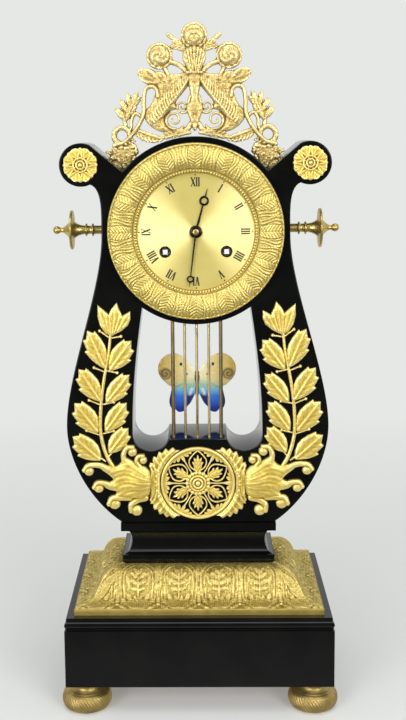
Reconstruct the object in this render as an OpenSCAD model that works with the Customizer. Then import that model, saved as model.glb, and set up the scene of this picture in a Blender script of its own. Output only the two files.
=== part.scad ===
// Lyre mantel clock: ebonised lyre on a stepped base, gilt mounts, round striking movement.
// Millimetres, +Z up, front towards -Y, origin on the floor at the middle of the base.

/* [Base] */
// Width of the plinth box
base_w = 207.6; // [190:0.2:220]
// Depth of the plinth box
base_d = 138; // [130:0.5:146]
// Height of the plinth box
box_h = 45.5; // [38:0.5:55]
// Wall of the plinth box
box_wall = 12; // [8:0.5:13]
// Thickness of the bottom board
board_t = 12; // [8:0.5:18]
// Height of the moulded plinth top
top_h = 10; // [9:0.5:14]
// Largest diameter of a foot
foot_d = 39; // [34:0.5:42]
// Height of a foot
foot_h = 21.7; // [19:0.1:26]
// Distance of the foot centres from the box sides
foot_inset = 15.2; // [14.8:0.1:17]
// Diameter of a foot screw
foot_screw_d = 4.8; // [3:0.2:6]

/* [Cushion and pedestal] */
// Width of the gilt cushion at its foot
cushion_w = 193; // [185:0.5:200]
// Depth of the gilt cushion at its foot
cushion_d = 124; // [118:0.5:128]
// Height of the plain fillet at the cushion's foot
fillet_h = 4.8; // [4:0.1:8]
// Rise of the cushion's ornament band
cushion_rise = 23.2; // [18:0.1:28]
// Inward run of the ornament band
cushion_run = 36; // [32:0.5:36]
// Sheet thickness of the cushion moulding
cushion_t = 2; // [1.2:0.1:3]
// Width of the pedestal's top slab
pedestal_w = 123.4; // [121.4:0.2:126]
// Depth of the pedestal's top slab
pedestal_d = 52.4; // [50:0.2:54]
// Height of the pedestal
pedestal_h = 33; // [29:0.5:38]
// Depth of the pedestal's hollow neck
neck_depth = 8.5; // [6:0.5:10]
// Diameter of the two tie bolts
tie_d = 6; // [5:0.2:7]

/* [Lyre] */
// Depth of the lyre from front to back
lyre_d = 48; // [46:0.5:50]
// Half width of the lyre at its belly
belly_w = 103.1; // [101:0.1:106]
// Half width of the lyre at its waist
waist_w = 72.7; // [71:0.1:74.5]
// Half width of the lyre where it stands on the pedestal
lyre_foot_w = 60.3; // [56:0.1:61]
// Height of the dial's centre above the lyre's foot
head_rise = 232.5; // [228:0.5:240]
// Radius of the round head
head_r = 72.5; // [71:0.1:74]
// Half distance between the scroll centres
scroll_x = 87.65; // [85:0.05:90]
// Height of the scroll centres above the dial's centre
scroll_rise = 51.7; // [49:0.1:54]
// Radius of a scroll
scroll_r = 16.6; // [15:0.1:17.6]
// Radius of the round bottoms of the opening
cup_r = 14.3; // [12:0.1:14.6]
// Half width of the opening at its foot
opening_w = 51.2; // [50:0.1:54]
// Height of the string bridge above the lyre's foot
bridge_rise = 68.3; // [65:0.1:70]
// Distance between neighbouring strings
string_pitch = 9.4; // [8.5:0.1:9.6]
// Diameter of the three inner strings
string_d = 2.1; // [1.6:0.1:2.6]
// Diameter of the two outer strings
string_outer_d = 2.9; // [2.4:0.1:3.4]

/* [Mounts] */
// Thickness of the flat gilt mounts
mount_t = 3; // [2:0.1:4]
// Radius of the pierced medallion
medallion_r = 29.6; // [27:0.1:31]
// Height of the medallion's centre above the lyre's foot
medallion_rise = 32.6; // [31.5:0.1:34]
// Radius of a scroll rosette
rosette_r = 13.4; // [12:0.1:14]
// Thickness of the crest casting
crest_t = 7; // [5:0.5:9]
// Radius of the crest's domed flowers
flower_r = 10; // [9:0.1:10.6]
// Radius of a peg's turned disc
peg_disc_r = 15.5; // [13:0.1:17]
// Diameter of a peg's shank
peg_d = 7; // [5:0.1:8]

/* [Dial and hands] */
// Outer radius of the bezel
bezel_r = 68; // [66.5:0.1:69.5]
// Radius of the dial that shows
dial_r = 45; // [43:0.1:46]
// Height of the bezel in front of the lyre
bezel_h = 9; // [8:0.1:11]
// Length of the minute hand from the centre
minute_l = 42.5; // [38:0.1:43]
// Length of the hour hand from the centre
hour_l = 34; // [28:0.1:36]
// Angle of the minute hand, clockwise from XII
minute_angle = 187; // [0:1:359]

/* [Movement] */
// Radius of the movement plates
plate_r = 45; // [43.5:0.1:47]
// Thickness of a movement plate
plate_t = 2; // [1.5:0.1:2.5]
// Half distance between the winding arbors
winding_x = 23.6; // [22.8:0.1:24.4]
// Drop of the winding arbors below the dial's centre
winding_drop = 15.4; // [14.6:0.1:16.2]
// Outer radius of the round movement case
case_r = 61.5; // [60:0.1:62]
// Wall of the movement case
case_wall = 1.5; // [1:0.1:2.5]
// Length of the case behind the lyre
case_back = 32; // [31:0.5:36]
// Radius of the bell
bell_r = 24; // [22:0.1:25]
// Length of the pendulum from its pivot to the butterfly's middle
pendulum_l = 161.5; // [156:0.5:165]
// Half span of the butterfly
butterfly_w = 32.5; // [28:0.1:33]

/* [Fits] */
// Radial clearance of a running pivot
run_gap = 0.03; // [0.02:0.005:0.06]
// Radial clearance of a fixed pin in its hole
fit_gap = 0.05; // [0.02:0.01:0.1]
// Clearance between moving pieces that pass each other
pass_gap = 0.4; // [0.3:0.05:0.6]

/* [Hidden] */
$fn = 72;

// Colours
ebony = [0.06, 0.06, 0.06];
gilt = [0.85, 0.68, 0.30];
brass = [0.74, 0.60, 0.30];
steel = [0.35, 0.37, 0.42];
pale_wood = [0.55, 0.40, 0.24];

// Heights of the stacked base
box_z = foot_h;
top_z = box_z + box_h;
cushion_z = top_z + top_h;
pedestal_z = cushion_z + fillet_h + cushion_rise;
lyre_z = pedestal_z + pedestal_h;
head_z = lyre_z + head_rise;
bridge_z = lyre_z + bridge_rise;
front_y = -lyre_d / 2;
foot_x = base_w / 2 - foot_inset;
foot_y = base_d / 2 - foot_inset;
tie_x = pedestal_w / 4;
tie_head_h = 5;
tie_grip = 22;

// Curves
function arc(c, r, a0, a1, n) =
    [for (i = [0:n]) c + r * [cos(a0 + (a1 - a0) * i / n), sin(a0 + (a1 - a0) * i / n)]];
function bez(a, b, c, d, t) =
    pow(1 - t, 3) * a + 3 * t * pow(1 - t, 2) * b + 3 * t * t * (1 - t) * c + t * t * t * d;
function curve(a, b, c, d, n) = [for (i = [0:n]) bez(a, b, c, d, i / n)];
function flip(p) = [for (i = [len(p) - 1:-1:0]) [-p[i][0], p[i][1]]];
function polar(r, a) = r * [cos(a), sin(a)];
function dist(a, b) = norm(b - a);
function bearing(a, b) = atan2(b[1] - a[1], b[0] - a[0]);
// Point at ra from a and rb from b, on the left of the way from a to b for side 1
function meet(a, ra, b, rb, side) =
    let (d = dist(a, b), u = (ra * ra - rb * rb + d * d) / (2 * d), h = sqrt(ra * ra - u * u))
    a + u * (b - a) / d + side * h * [-(b - a)[1], (b - a)[0]] / d;

// A flat shape drawn in X and Z, from depth y0 to depth y1
module slab(y0, y1) {
    translate([0, y1, 0]) rotate([90, 0, 0]) linear_extrude(y1 - y0) children();
}
// A round bar along Y at a place in X and Z
module bar(p, r, y0, y1) {
    translate([p[0], y0, p[1]]) rotate([-90, 0, 0]) cylinder(r = r, h = y1 - y0);
}
module mirrored() { mirror([1, 0, 0]) children(); }
module at_head() { translate([0, 0, head_z]) children(); }

// A four-sided moulding with mitred corners; profile points are [inset, height]
function both_sides(h, prof) =
    let (p = [for (q = prof) [h - q[0], q[1]]]) concat(p, flip(p));
module mitred(hw, hd, prof) {
    intersection() {
        slab(-hd - 1, hd + 1) polygon(both_sides(hw, prof));
        rotate([0, 0, 90]) slab(-hw - 1, hw + 1) polygon(both_sides(hd, prof));
    }
}

// Base
screw_head_r = foot_screw_d / 2 + 2.4;
screw_head_h = 3;
foot_floor = 4;
module at_feet() {
    for (x = [-foot_x, foot_x], y = [-foot_y, foot_y]) translate([x, y, 0]) children();
}
// Foot: hollow neck under the box, flattened belly, small flat base
module foot(sx, sy) {
    r = foot_d / 2;
    bore = foot_screw_d / 2 + fit_gap;
    well = screw_head_r + pass_gap;
    belly = foot_h * 0.33;
    neck = foot_h * 0.18;
    profile = concat([[well, 0], [r * 0.6, 0]],
        arc([r - belly, belly], belly, -78, 70, 12),
        arc([r * 0.54 + neck, foot_h * 0.82], neck, 230, 130, 8),
        [[r * 0.62, foot_h], [bore, foot_h], [bore, foot_floor + screw_head_h],
         [well, foot_floor + screw_head_h]]);
    color(brass) translate([sx * foot_x, sy * foot_y, 0]) rotate_extrude() polygon(profile);
}
module foot_front_left() { foot(-1, -1); }
module foot_front_right() { foot(1, -1); }
module foot_back_left() { foot(-1, 1); }
module foot_back_right() { foot(1, 1); }
module foot_screws() {
    color(steel) at_feet() {
        translate([0, 0, foot_floor]) cylinder(r = screw_head_r, h = screw_head_h);
        translate([0, 0, foot_floor]) cylinder(d = foot_screw_d, h = foot_h + board_t - 1 - foot_floor);
    }
}
module base_board() {
    color(pale_wood) difference() {
        translate([-base_w / 2 + box_wall, -base_d / 2 + box_wall, box_z])
            cube([base_w - 2 * box_wall, base_d - 2 * box_wall, board_t]);
        at_feet() translate([0, 0, box_z - 1]) cylinder(d = foot_screw_d + 2 * fit_gap, h = board_t + 2);
    }
}
module plinth_box() {
    color(ebony) translate([0, 0, box_z]) difference() {
        translate([-base_w / 2, -base_d / 2, 0]) cube([base_w, base_d, box_h]);
        translate([-base_w / 2 + box_wall, -base_d / 2 + box_wall, -1])
            cube([base_w - 2 * box_wall, base_d - 2 * box_wall, box_h + 2]);
    }
}
module tie_holes(z0, z1) {
    for (x = [-tie_x, tie_x]) translate([x, 0, z0]) cylinder(d = tie_d + 2 * fit_gap, h = z1 - z0);
}
// Plinth top: a fine groove under a rounded nose, then a small step
groove_h = 1.4;
groove_in = 1.2;
nose_r = 3;
step_in = 1.5;
module plinth_top() {
    profile = concat([[groove_in, 0], [groove_in, groove_h]],
        [for (a = [-90:18:90]) [nose_r - nose_r * cos(a), groove_h + nose_r + nose_r * sin(a)]],
        [[step_in, groove_h + 2 * nose_r], [step_in, top_h]]);
    color(ebony) difference() {
        translate([0, 0, top_z]) mitred(base_w / 2, base_d / 2, profile);
        tie_holes(top_z - 1, cushion_z + 1);
    }
}
// Cushion: plain fillet, a gently rising tread, then a steep swelling band up to the pedestal
ogee = concat(curve([0, 0], [0.2, 0.06], [0.36, 0.1], [0.42, 0.3], 6),
    curve([0.42, 0.3], [0.5, 0.62], [0.62, 1], [1, 1], 8));
function cushion_profile(t) = concat([[t, 0]],
    [for (p = ogee) [t + cushion_run * p[0], fillet_h - t + cushion_rise * p[1]]]);
module cushion_moulding() {
    color(gilt) translate([0, 0, cushion_z]) difference() {
        mitred(cushion_w / 2, cushion_d / 2, cushion_profile(0));
        translate([0, 0, -0.01]) mitred(cushion_w / 2, cushion_d / 2, cushion_profile(cushion_t));
        translate([0, 0, cushion_rise]) tie_holes(0, 20);
    }
}
module cushion_core() {
    color(pale_wood) difference() {
        translate([0, 0, cushion_z]) mitred(cushion_w / 2, cushion_d / 2, cushion_profile(cushion_t + 0.1));
        tie_holes(cushion_z - 1, pedestal_z);
    }
}
pedestal_slab = 6.4;
pedestal_in = 1.2;
module pedestal() {
    mid = pedestal_h / 2;
    half = mid - pedestal_slab;
    lip = pedestal_in + 1;
    profile = concat([[pedestal_in, 0], [pedestal_in, pedestal_slab]],
        [for (t = [-1:0.125:1]) [lip + (neck_depth - lip) * sqrt(1 - t * t), mid + half * t]],
        [[0, pedestal_h - pedestal_slab], [0, pedestal_h]]);
    color(ebony) difference() {
        translate([0, 0, pedestal_z]) mitred(pedestal_w / 2, pedestal_d / 2, profile);
        tie_holes(pedestal_z - 1, lyre_z + 1);
    }
}
module tie_bolts() {
    color(steel) for (x = [-tie_x, tie_x]) translate([x, 0, top_z - tie_head_h]) {
        cylinder(d = 2 * tie_d, h = tie_head_h, $fn = 6);
        cylinder(d = tie_d, h = lyre_z + tie_grip - top_z + tie_head_h);
    }
}

// Lyre
scroll_c = [scroll_x, head_rise + scroll_rise];
cup_c = [opening_w - cup_r, bridge_rise + cup_r * 0.32];
cup_end = -180 + asin(0.32);
waist_z = head_rise - 2;
belly_z = 78;
inner_top = [0.59 * head_r, head_rise - 0.82 * head_r];
lyre_side = concat(
    curve([lyre_foot_w, 0], [lyre_foot_w + 25, 17], [belly_w, belly_z - 28], [belly_w, belly_z], 12),
    curve([belly_w, belly_z], [belly_w, belly_z + 42], [waist_w, waist_z - 42], [waist_w, waist_z], 16),
    curve([waist_w, waist_z], [waist_w, waist_z + 16], scroll_c + polar(scroll_r + 8, 228),
        scroll_c + polar(scroll_r, 245), 6),
    [scroll_c, scroll_c + polar(scroll_r, 115), [0.786 * head_r, head_rise + 0.645 * head_r]]);
arm_rise = inner_top[1] - cup_c[1];
opening_side = concat(
    arc(cup_c, cup_r, cup_end, 0, 16),
    curve([opening_w, cup_c[1]], [opening_w, cup_c[1] + 0.31 * arm_rise],
        [0.94 * opening_w, cup_c[1] + 0.61 * arm_rise], inner_top, 10));
string_y = front_y + 6;
string_sink = 6;
string_set = [for (i = [-2:2]) [i * string_pitch, abs(i) == 2 ? string_outer_d : string_d]];
function string_top(x) = head_z - sqrt(head_r * head_r - x * x) + string_sink;
module string_rods(extra) {
    for (s = string_set) translate([s[0], string_y, bridge_z - string_sink])
        cylinder(d = s[1] + 2 * extra, h = string_top(s[0]) - bridge_z + string_sink);
}
peg_sink = 8;
peg_x = max(waist_w, head_r + 0.2);
module lyre_outline() {
    difference() {
        polygon(concat(lyre_side, flip(lyre_side)));
        polygon(concat(opening_side, [[0, head_rise]], flip(opening_side)));
    }
    translate([0, head_rise]) circle(head_r);
    for (s = [-1, 1]) translate([s * scroll_c[0], scroll_c[1]]) circle(scroll_r);
}
module lyre_frame() {
    color(ebony) difference() {
        translate([0, 0, lyre_z]) slab(front_y, -front_y) difference() {
            lyre_outline();
            translate([0, head_rise]) circle(case_r + fit_gap);
        }
        tie_holes(lyre_z - 1, lyre_z + tie_grip);
        string_rods(fit_gap);
        for (s = [0, 1]) mirror([s, 0, 0]) translate([peg_x - peg_sink, 0, head_z])
            rotate([0, 90, 0]) cylinder(d = peg_d + 2 * fit_gap, h = 2 * peg_sink);
        crest_pins(fit_gap);
    }
}
module strings() { color(brass) string_rods(0); }

// Turned rosette of a scroll
module rosette() {
    t = mount_t;
    profile = [[0, 0], [rosette_r, 0], [rosette_r, t * 0.5], [rosette_r * 0.94, t], [rosette_r * 0.8, t],
        [rosette_r * 0.74, t * 0.6], [rosette_r * 0.5, t * 0.6], [rosette_r * 0.42, t * 1.1],
        [rosette_r * 0.3, t * 1.1], [rosette_r * 0.2, t * 1.6], [0, t * 1.7]];
    color(gilt) translate([scroll_x, front_y, lyre_z + scroll_c[1]]) {
        rotate([90, 0, 0]) rotate_extrude() polygon(profile);
        for (i = [0:7]) bar(polar(rosette_r * 0.87, 45 * i), rosette_r * 0.1, -t * 1.3, -t * 0.4);
    }
}
module rosette_right() { rosette(); }
module rosette_left() { mirrored() rosette(); }

// Turned side peg, drawn along its axis outwards from the lyre: two rings, a disc and a knobbed end
peg_ring = 6.8;
peg_ring_pitch = 6;
peg_disc = 25.1;
peg_disc_t = 2.4;
peg_end = 34.1;
peg_knob_r = 3.2;
module peg() {
    d = peg_d / 2;
    rings = [for (i = [0, 1]) each let (z = peg_ring + peg_ring_pitch * i)
        [[d, z], [d * 1.57, z + 0.8], [d * 1.57, z + 2.4], [d, z + 3.2]]];
    half = peg_disc_t / 2;
    profile = concat([[0, -peg_sink], [d, -peg_sink]], rings,
        [[d * 1.1, peg_disc - 5], [d * 1.9, peg_disc - half - 0.6], [peg_disc_r, peg_disc - half],
         [peg_disc_r, peg_disc + half], [d * 1.9, peg_disc + half + 0.6], [d * 0.8, peg_disc + 4.6],
         [d * 0.55, peg_end - 2], [d * 0.6, peg_end], [0, peg_end]]);
    color(brass) translate([peg_x, 0, head_z]) rotate([0, 90, 0]) {
        rotate_extrude() polygon(profile);
        translate([0, 0, peg_end + 0.9 * peg_knob_r]) sphere(peg_knob_r);
    }
}
module peg_right() { peg(); }
module peg_left() { mirrored() peg(); }

// A leaf from its root to its tip, widest past the middle, with forward teeth
leaf_half = [[0.14, 0.38], [0.4, 0.84], [0.62, 1], [0.66, 0.82], [0.84, 0.72], [0.87, 0.46]];
leaf_shape = concat([[0, 0]], leaf_half, [[1, 0]],
    [for (i = [len(leaf_half) - 1:-1:0]) [leaf_half[i][0], -leaf_half[i][1]]]);
module leaf(root, tip, half_w) {
    translate(root) rotate(bearing(root, tip))
        polygon([for (p = leaf_shape) [p[0] * dist(root, tip), p[1] * half_w]]);
}
// Outline of a bent strip of half width w along points p
function ribbon(p, w) =
    let (n = len(p) - 1,
        side = [for (i = [0:n]) polar(w, bearing(p[max(i - 1, 0)], p[min(i + 1, n)]) + 90)])
    concat([for (i = [0:n]) p[i] + side[i]], [for (i = [n:-1:0]) p[i] - side[i]]);

// Laurel branch growing from an acanthus cup, drawn for the right arm above the medallion's centre
branch_a = [62, 8.4];
branch_b = [84, 30];
branch_c = [75.5, 70];
branch_d = [67, 122];
stem_w = 1.5;
function stem_at(t) = bez(branch_a, branch_b, branch_c, branch_d, t);
// Place of each leaf along the stem, its tip and its half width
laurel = [[0.14, [98.5, 39], 8.5], [0.37, [96, 65], 8], [0.585, [92.5, 91], 7.5], [0.77, [85, 121], 7.5],
    [0.14, [55, 45], 7], [0.37, [56, 65], 7], [0.585, [53.5, 86.5], 7], [0.77, [51.5, 113], 7.5],
    [0.97, [76.5, 141.5], 6.5], [0.97, [51.5, 136.5], 6.5], [0.97, [62, 143], 8.5]];
module branch_outline() {
    steps = 12;
    polygon(ribbon([for (i = [0:steps]) stem_at(i / steps)], stem_w));
    for (l = laurel) leaf(stem_at(l[0]), l[1], l[2]);
}
// Root, knob and knob radius of the cup's curls
cup_curls = [[[58, 21], [53.5, 26.5], 3.8], [[47, 12], [44.5, 20], 3.6], [[78, 13], [89, 9.8], 4],
    [[72, -3], [81.5, -4.4], 4], [[60, -9], [68.5, -17.5], 4.6], [[48, -11], [50, -23.5], 4.6]];
curl_w = 2.2;
cup_rim = [[36.5, -0.6], [37, 12.4], [44, 13.9], [52, 17.4], [57, 22.9], [61, 24.4], [66, 18.9], [71, 14.9],
    [79, 15.9], [84, 14.4], [81, 9.4], [74, 0.9], [77, -4.1], [68, -7.1], [62, -11.1], [55, -13.1],
    [46, -14.1], [39, -10.6]];
collar = [[medallion_r, 7], [38, 13], [38, -11], [medallion_r, -7]];
module cup_outline() {
    polygon(cup_rim);
    polygon(collar);
    for (c = cup_curls) {
        polygon(ribbon([c[0], c[1]], curl_w));
        translate(c[1]) circle(c[2]);
    }
}
crescent_w = 6;
module crescent_outline() {
    difference() {
        circle(medallion_r + crescent_w);
        translate([-100, -100]) square([100 + medallion_r * 0.45, 200]);
        translate([0, -medallion_rise - 20]) square([100, 20.8]);
    }
}
module branch() {
    color(gilt) translate([0, 0, lyre_z + medallion_rise]) slab(front_y - mount_t, front_y) difference() {
        union() {
            branch_outline();
            cup_outline();
            crescent_outline();
        }
        circle(medallion_r + 0.3);
    }
}
module branch_right() { branch(); }
module branch_left() { mirrored() branch(); }

// Pierced medallion: rim, six petals with a leaf in each, centre boss
module medallion() {
    r = medallion_r;
    color(gilt) translate([0, 0, lyre_z + medallion_rise]) {
        slab(front_y - mount_t, front_y) {
            difference() {
                circle(r);
                circle(r * 0.86);
            }
            for (i = [0:5]) rotate(60 * i + 30) {
                translate([r * 0.58, 0]) difference() {
                    circle(r * 0.3);
                    circle(r * 0.25);
                }
                leaf([r * 0.3, 0], [r * 0.8, 0], r * 0.16);
                rotate(30) leaf([r * 0.25, 0], [r * 0.87, 0], r * 0.19);
            }
            circle(r * 0.3);
        }
        slab(front_y - mount_t - 1.5, front_y - mount_t) circle(r * 0.22);
    }
}

// Crest: three flowers over two swans with raised wings, drawn above the centre of a head of radius
// crest_seat_r and lifted to stand on the head as it is
crest_seat_r = 72.5;
crest_lift = head_r - crest_seat_r;
crest_flowers = [[0, 149.2], [-26.8, 134], [26.8, 134]];
crest_pin_r = 1.5;
crest_pin_angle = 14;
crest_pin_l = 7;
module crest_pins(extra) {
    for (s = [-1, 1]) translate([0, 0, head_z]) rotate([0, s * crest_pin_angle, 0])
        translate([0, 0, head_r - crest_pin_l]) cylinder(r = crest_pin_r + extra, h = crest_pin_l + 4);
}
swan_neck = concat(curve([28.5, 103], [29, 115], [39.4, 115], [39, 98], 8),
    [for (i = [1:8]) bez([39, 98], [39, 88], [44, 78], [61, 66], i / 8)]);
basket_ring = [56.8, 73.5];
module crest_half() {
    // Raised wing and body round an open scroll
    difference() {
        polygon(concat([[0, 121]], curve([8, 120], [14, 118], [22, 121], [30, 112], 6), [[34, 97]],
            curve([39, 92], [41, 84], [30, 76], [18, 75], 8), [[9, 80], [8, 90], [13, 98], [4, 112]]));
        translate([16.2, 85.2]) circle(4.6);
    }
    polygon(ribbon([[3, 84], [7, 77.5], [16, 75]], 2));
    translate([9.3, 95.3]) circle(4.5);
    polygon(ribbon(swan_neck, 1.9));
    // Leaves along the head and behind the wing
    leaf([3, 76], [28, 71], 2.8);
    leaf([27, 70.5], [48, 77.5], 3.4);
    leaf([25, 112], [44, 122.5], 5);
    // Fruit basket with its ring and sprig
    polygon([[45, 60], [50, 70], [57, 66], [65, 66], [67, 59], [63, 51], [56, 46.5], [48, 53]]);
    translate(basket_ring) difference() {
        circle(8);
        circle(4.5);
    }
    polygon([[40, 103.5], [45.5, 108], [51, 106], [55.5, 102.5], [61.3, 95.2], [60, 90], [55.5, 85.5],
        [51.5, 88.5], [48.5, 95.5], [44, 100.5]]);
    polygon(ribbon([[55.5, 87], [53, 79]], 1.5));
    // Stalk of the side flower and bud between the flowers
    polygon(ribbon([[3, 121], [11, 127], [20, 131]], 1.7));
    polygon([[6, 141], [9, 147], [15, 147.5], [19, 151.5], [22, 149.5], [17.5, 144], [19, 139], [10, 138]]);
}
pendant_half = [[9, 132], [5, 121], [4.5, 100], [5.5, 84], [2.5, 78]];
vase_top = [[4, 141], [8, 138]];
module crest() {
    flower = [[0, 0], [1, 0], [1, 0.15], [0.8, 0.15], [0.7, 0.3], [0.4, 0.44], [0, 0.5]];
    color(gilt) {
        at_head() difference() {
            translate([0, 0, crest_lift]) slab(-crest_t / 2, crest_t / 2) {
                crest_half();
                mirror([1, 0]) crest_half();
                polygon(concat(vase_top, pendant_half, flip(concat(vase_top, pendant_half))));
                for (f = crest_flowers) translate(f) circle(flower_r);
            }
            slab(-crest_t, crest_t) translate([0, -head_rise]) lyre_outline();
        }
        at_head() for (f = crest_flowers) translate([f[0], -crest_t / 2, f[1] + crest_lift])
            rotate([90, 0, 0]) rotate_extrude() polygon(flower_r * flower);
        crest_pins(0);
    }
}

// Depths in the clock head
dial_y = front_y - 2.4;
dial_t = 1.2;
flange_y = front_y + 6;
flange_t = 2;
plate_y = flange_y + flange_t;
room_y = plate_y + plate_t;
room_l = 30;
back_y = room_y + room_l;
rear_y = back_y + plate_t;
case_end = -front_y + case_back;
flange_in = plate_r - 4.5;
rod_y = -front_y + 3;
slot_w = 20;
slot_y = -front_y + 0.2;
slot_l = 6;

module movement_case() {
    color(brass) at_head() difference() {
        union() {
            difference() {
                bar([0, 0], case_r, front_y, case_end);
                bar([0, 0], case_r - case_wall, front_y - 1, case_end + 1);
            }
            difference() {
                bar([0, 0], case_r - case_wall + 0.2, flange_y, flange_y + flange_t);
                bar([0, 0], flange_in, flange_y - 1, flange_y + flange_t + 1);
            }
            for (s = [-1, 1]) translate([0, 0, s * knuckle_l - knuckle_l / 2]) knuckle();
        }
        translate([-slot_w / 2, slot_y, -case_r - 5]) cube([slot_w, slot_l, 30]);
        for (s = [-1, 1]) translate([door_x, door_y, 0]) translate([0, 0, -2 * knuckle_l])
            cylinder(r = hinge_pin_r + fit_gap, h = 4 * knuckle_l);
    }
}

// Rear door hung on a vertical pin at the right of the case
knuckle_l = 10;
knuckle_r = 2.6;
hinge_pin_r = 1.1;
door_t = 1.5;
door_x = case_r + knuckle_r + 0.6;
door_y = case_end - 1;
module knuckle() {
    translate([door_x, door_y, 0]) difference() {
        union() {
            cylinder(r = knuckle_r, h = knuckle_l);
            translate([-door_x + case_r - 1, -knuckle_r - 3, 0])
                cube([door_x - case_r + 1, 3 + knuckle_r, knuckle_l]);
        }
        translate([0, 0, -1]) cylinder(r = hinge_pin_r + fit_gap, h = knuckle_l + 2);
    }
}
module rear_door() {
    y0 = case_end + 0.3;
    color(brass) at_head() {
        difference() {
            union() {
                bar([0, 0], case_r, y0, y0 + door_t);
                translate([case_r - 6, y0, -knuckle_l / 2 + 0.3])
                    cube([door_x - case_r + 6, door_t, knuckle_l - 0.6]);
                translate([door_x, door_y, -knuckle_l / 2 + 0.3])
                    cylinder(r = knuckle_r, h = knuckle_l - 0.6);
            }
            translate([door_x, door_y, -knuckle_l]) cylinder(r = hinge_pin_r + run_gap, h = 2 * knuckle_l);
        }
        bar([-case_r + 10, 0], 3, y0 + door_t - 0.5, y0 + door_t + 4);
    }
}
module door_hinge_pin() {
    color(steel) at_head() translate([door_x, door_y, -1.5 * knuckle_l - 1]) {
        cylinder(r = hinge_pin_r, h = 3 * knuckle_l + 2);
        translate([0, 0, 3 * knuckle_l + 1]) cylinder(r = hinge_pin_r + 0.7, h = 1);
    }
}

// Bezel, sight ring and dial
bezel_in = dial_r + 3.2;
module bezel() {
    half = (bezel_r - bezel_in) / 2;
    round_h = bezel_h * 0.6;
    profile = concat([[bezel_in, 0], [bezel_r, 0], [bezel_r, bezel_h * 0.3]],
        [for (a = [10:16:170]) [bezel_in + half + (half - 0.3) * cos(a), bezel_h - round_h * (1 - sin(a))]],
        [[bezel_in, bezel_h * 0.3]]);
    color(gilt) translate([0, front_y, head_z]) rotate([90, 0, 0]) rotate_extrude() polygon(profile);
}
module sight_ring() {
    h = bezel_h * 0.55;
    color(gilt) translate([0, front_y, head_z]) rotate([90, 0, 0]) rotate_extrude()
        polygon([[dial_r + 0.6, front_y - dial_y + 0.1], [dial_r + 3.1, front_y - dial_y + 0.1],
            [dial_r + 3.1, h], [dial_r + 1.8, h + 0.8], [dial_r, h - 0.8]]);
}
dial_foot_r = 38;
module dial() {
    color(gilt) at_head() {
        difference() {
            bar([0, 0], dial_r + 3, dial_y - dial_t + 1.2, dial_y + 1.2);
            bar([0, 0], 4, dial_y - 5, dial_y + 5);
            for (s = [-1, 1]) bar([s * winding_x, -winding_drop], 3.6, dial_y - 5, dial_y + 5);
        }
        for (a = [90, 215, 325]) bar(polar(dial_foot_r, a), 1.5, dial_y + 1, plate_y);
    }
}

// Wheelwork: places are [x, z] from the dial's centre, depths are from the front plate's back
pressure = 25;
tooth_slack = 0.16;
function involute(a) = tan(a) * 180 / PI - a;
function half_tooth(n, rp, r) =
    let (rb = rp * cos(pressure))
    90 / n * (1 - tooth_slack) + involute(pressure) - involute(acos(min(1, rb / max(r, rb))));
function tooth_radii(n, m, tip, root) = [n * m / 2 - root * m, n * m / 2, n * m / 2 + tip * m];
function gear(n, m, tip, root, phase) =
    let (rr = tooth_radii(n, m, tip, root), h = [for (r = rr) half_tooth(n, n * m / 2, r)])
    [for (k = [0:n - 1]) each let (c = phase + 360 * k / n)
        [polar(rr[0], c - h[0]), polar(rr[1], c - h[1]), polar(rr[2], c - h[2]),
         polar(rr[2], c + h[2]), polar(rr[1], c + h[1]), polar(rr[0], c + h[0])]];
// Phase of gear b so that it meshes with gear a of a known phase
function mesh_phase(pa, na, fa, pb, nb) =
    let (t = bearing(pa, pb)) t + 180 - ((fa - t) * na / 360 + 0.5) * 360 / nb;
function reach(n, k, m) = (n + k) * m / 2;
wheel_tip = 0.5;
wheel_root = 1.05;
leaf_tip = 0.8;
leaf_root = 0.8;
module wheel(p, n, m, phase, y0, y1, hub) {
    translate([p[0], 0, p[1]]) slab(room_y + y0, room_y + y1) difference() {
        polygon(gear(n, m, wheel_tip, wheel_root, phase));
        for (i = [0:3]) rotate(phase + 90 * i + 45) spoke_gap(n * m / 2 - 1.9, hub);
    }
}
module spoke_gap(r, hub) {
    w = 0.7;
    intersection() {
        difference() {
            circle(r);
            circle(hub + 1.2);
        }
        polygon([[w * 1.42, 0], [2 * r, 2 * r - w * 1.42], [2 * r, -2 * r + w * 1.42]]);
    }
}
module pinion(p, n, m, phase, y0, y1) {
    translate([p[0], 0, p[1]]) slab(room_y + y0, room_y + y1) polygon(gear(n, m, leaf_tip, leaf_root, phase));
}
pivot_r = 0.6;
module arbor(p, r) {
    bar(p, r, room_y + 0.4, back_y - 0.4);
    bar(p, pivot_r, room_y - plate_t, rear_y);
}

// Going train
barrel_n = 72;
barrel_m = 0.45;
inter_k = 9;
inter_n = 60;
inter_m = 0.4;
centre_k = 10;
centre_n = 80;
third_k = 8;
third_n = 84;
escape_k = 6;
centre_m = 0.3;
third_m = 0.28;
escape_n = 33;
escape_r = 7.6;
centre_p = [0, 0];
going_p = [winding_x, -winding_drop];
inter_p = meet(centre_p, reach(inter_n, centre_k, inter_m), going_p, reach(barrel_n, inter_k, barrel_m), -1);
escape_p = [0, 17];
third_p = meet(centre_p, reach(centre_n, third_k, centre_m), escape_p, reach(third_n, escape_k, third_m), -1);
anchor_p = [0, 29];
inter_f = mesh_phase(going_p, barrel_n, 0, inter_p, inter_k);
centre_f = mesh_phase(inter_p, inter_n, inter_f, centre_p, centre_k);
third_f = mesh_phase(centre_p, centre_n, centre_f, third_p, third_k);
escape_f = mesh_phase(third_p, third_n, third_f, escape_p, escape_k);

// Motion work teeth, and the stud that carries the minute wheel
cannon_k = 12;
minute_n = 36;
minute_m = 0.5;
minute_k = 10;
hour_n = 40;
hour_m = minute_m * (cannon_k + minute_n) / (minute_k + hour_n);
stud_p = polar(reach(cannon_k, minute_n, minute_m), 60);

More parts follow.
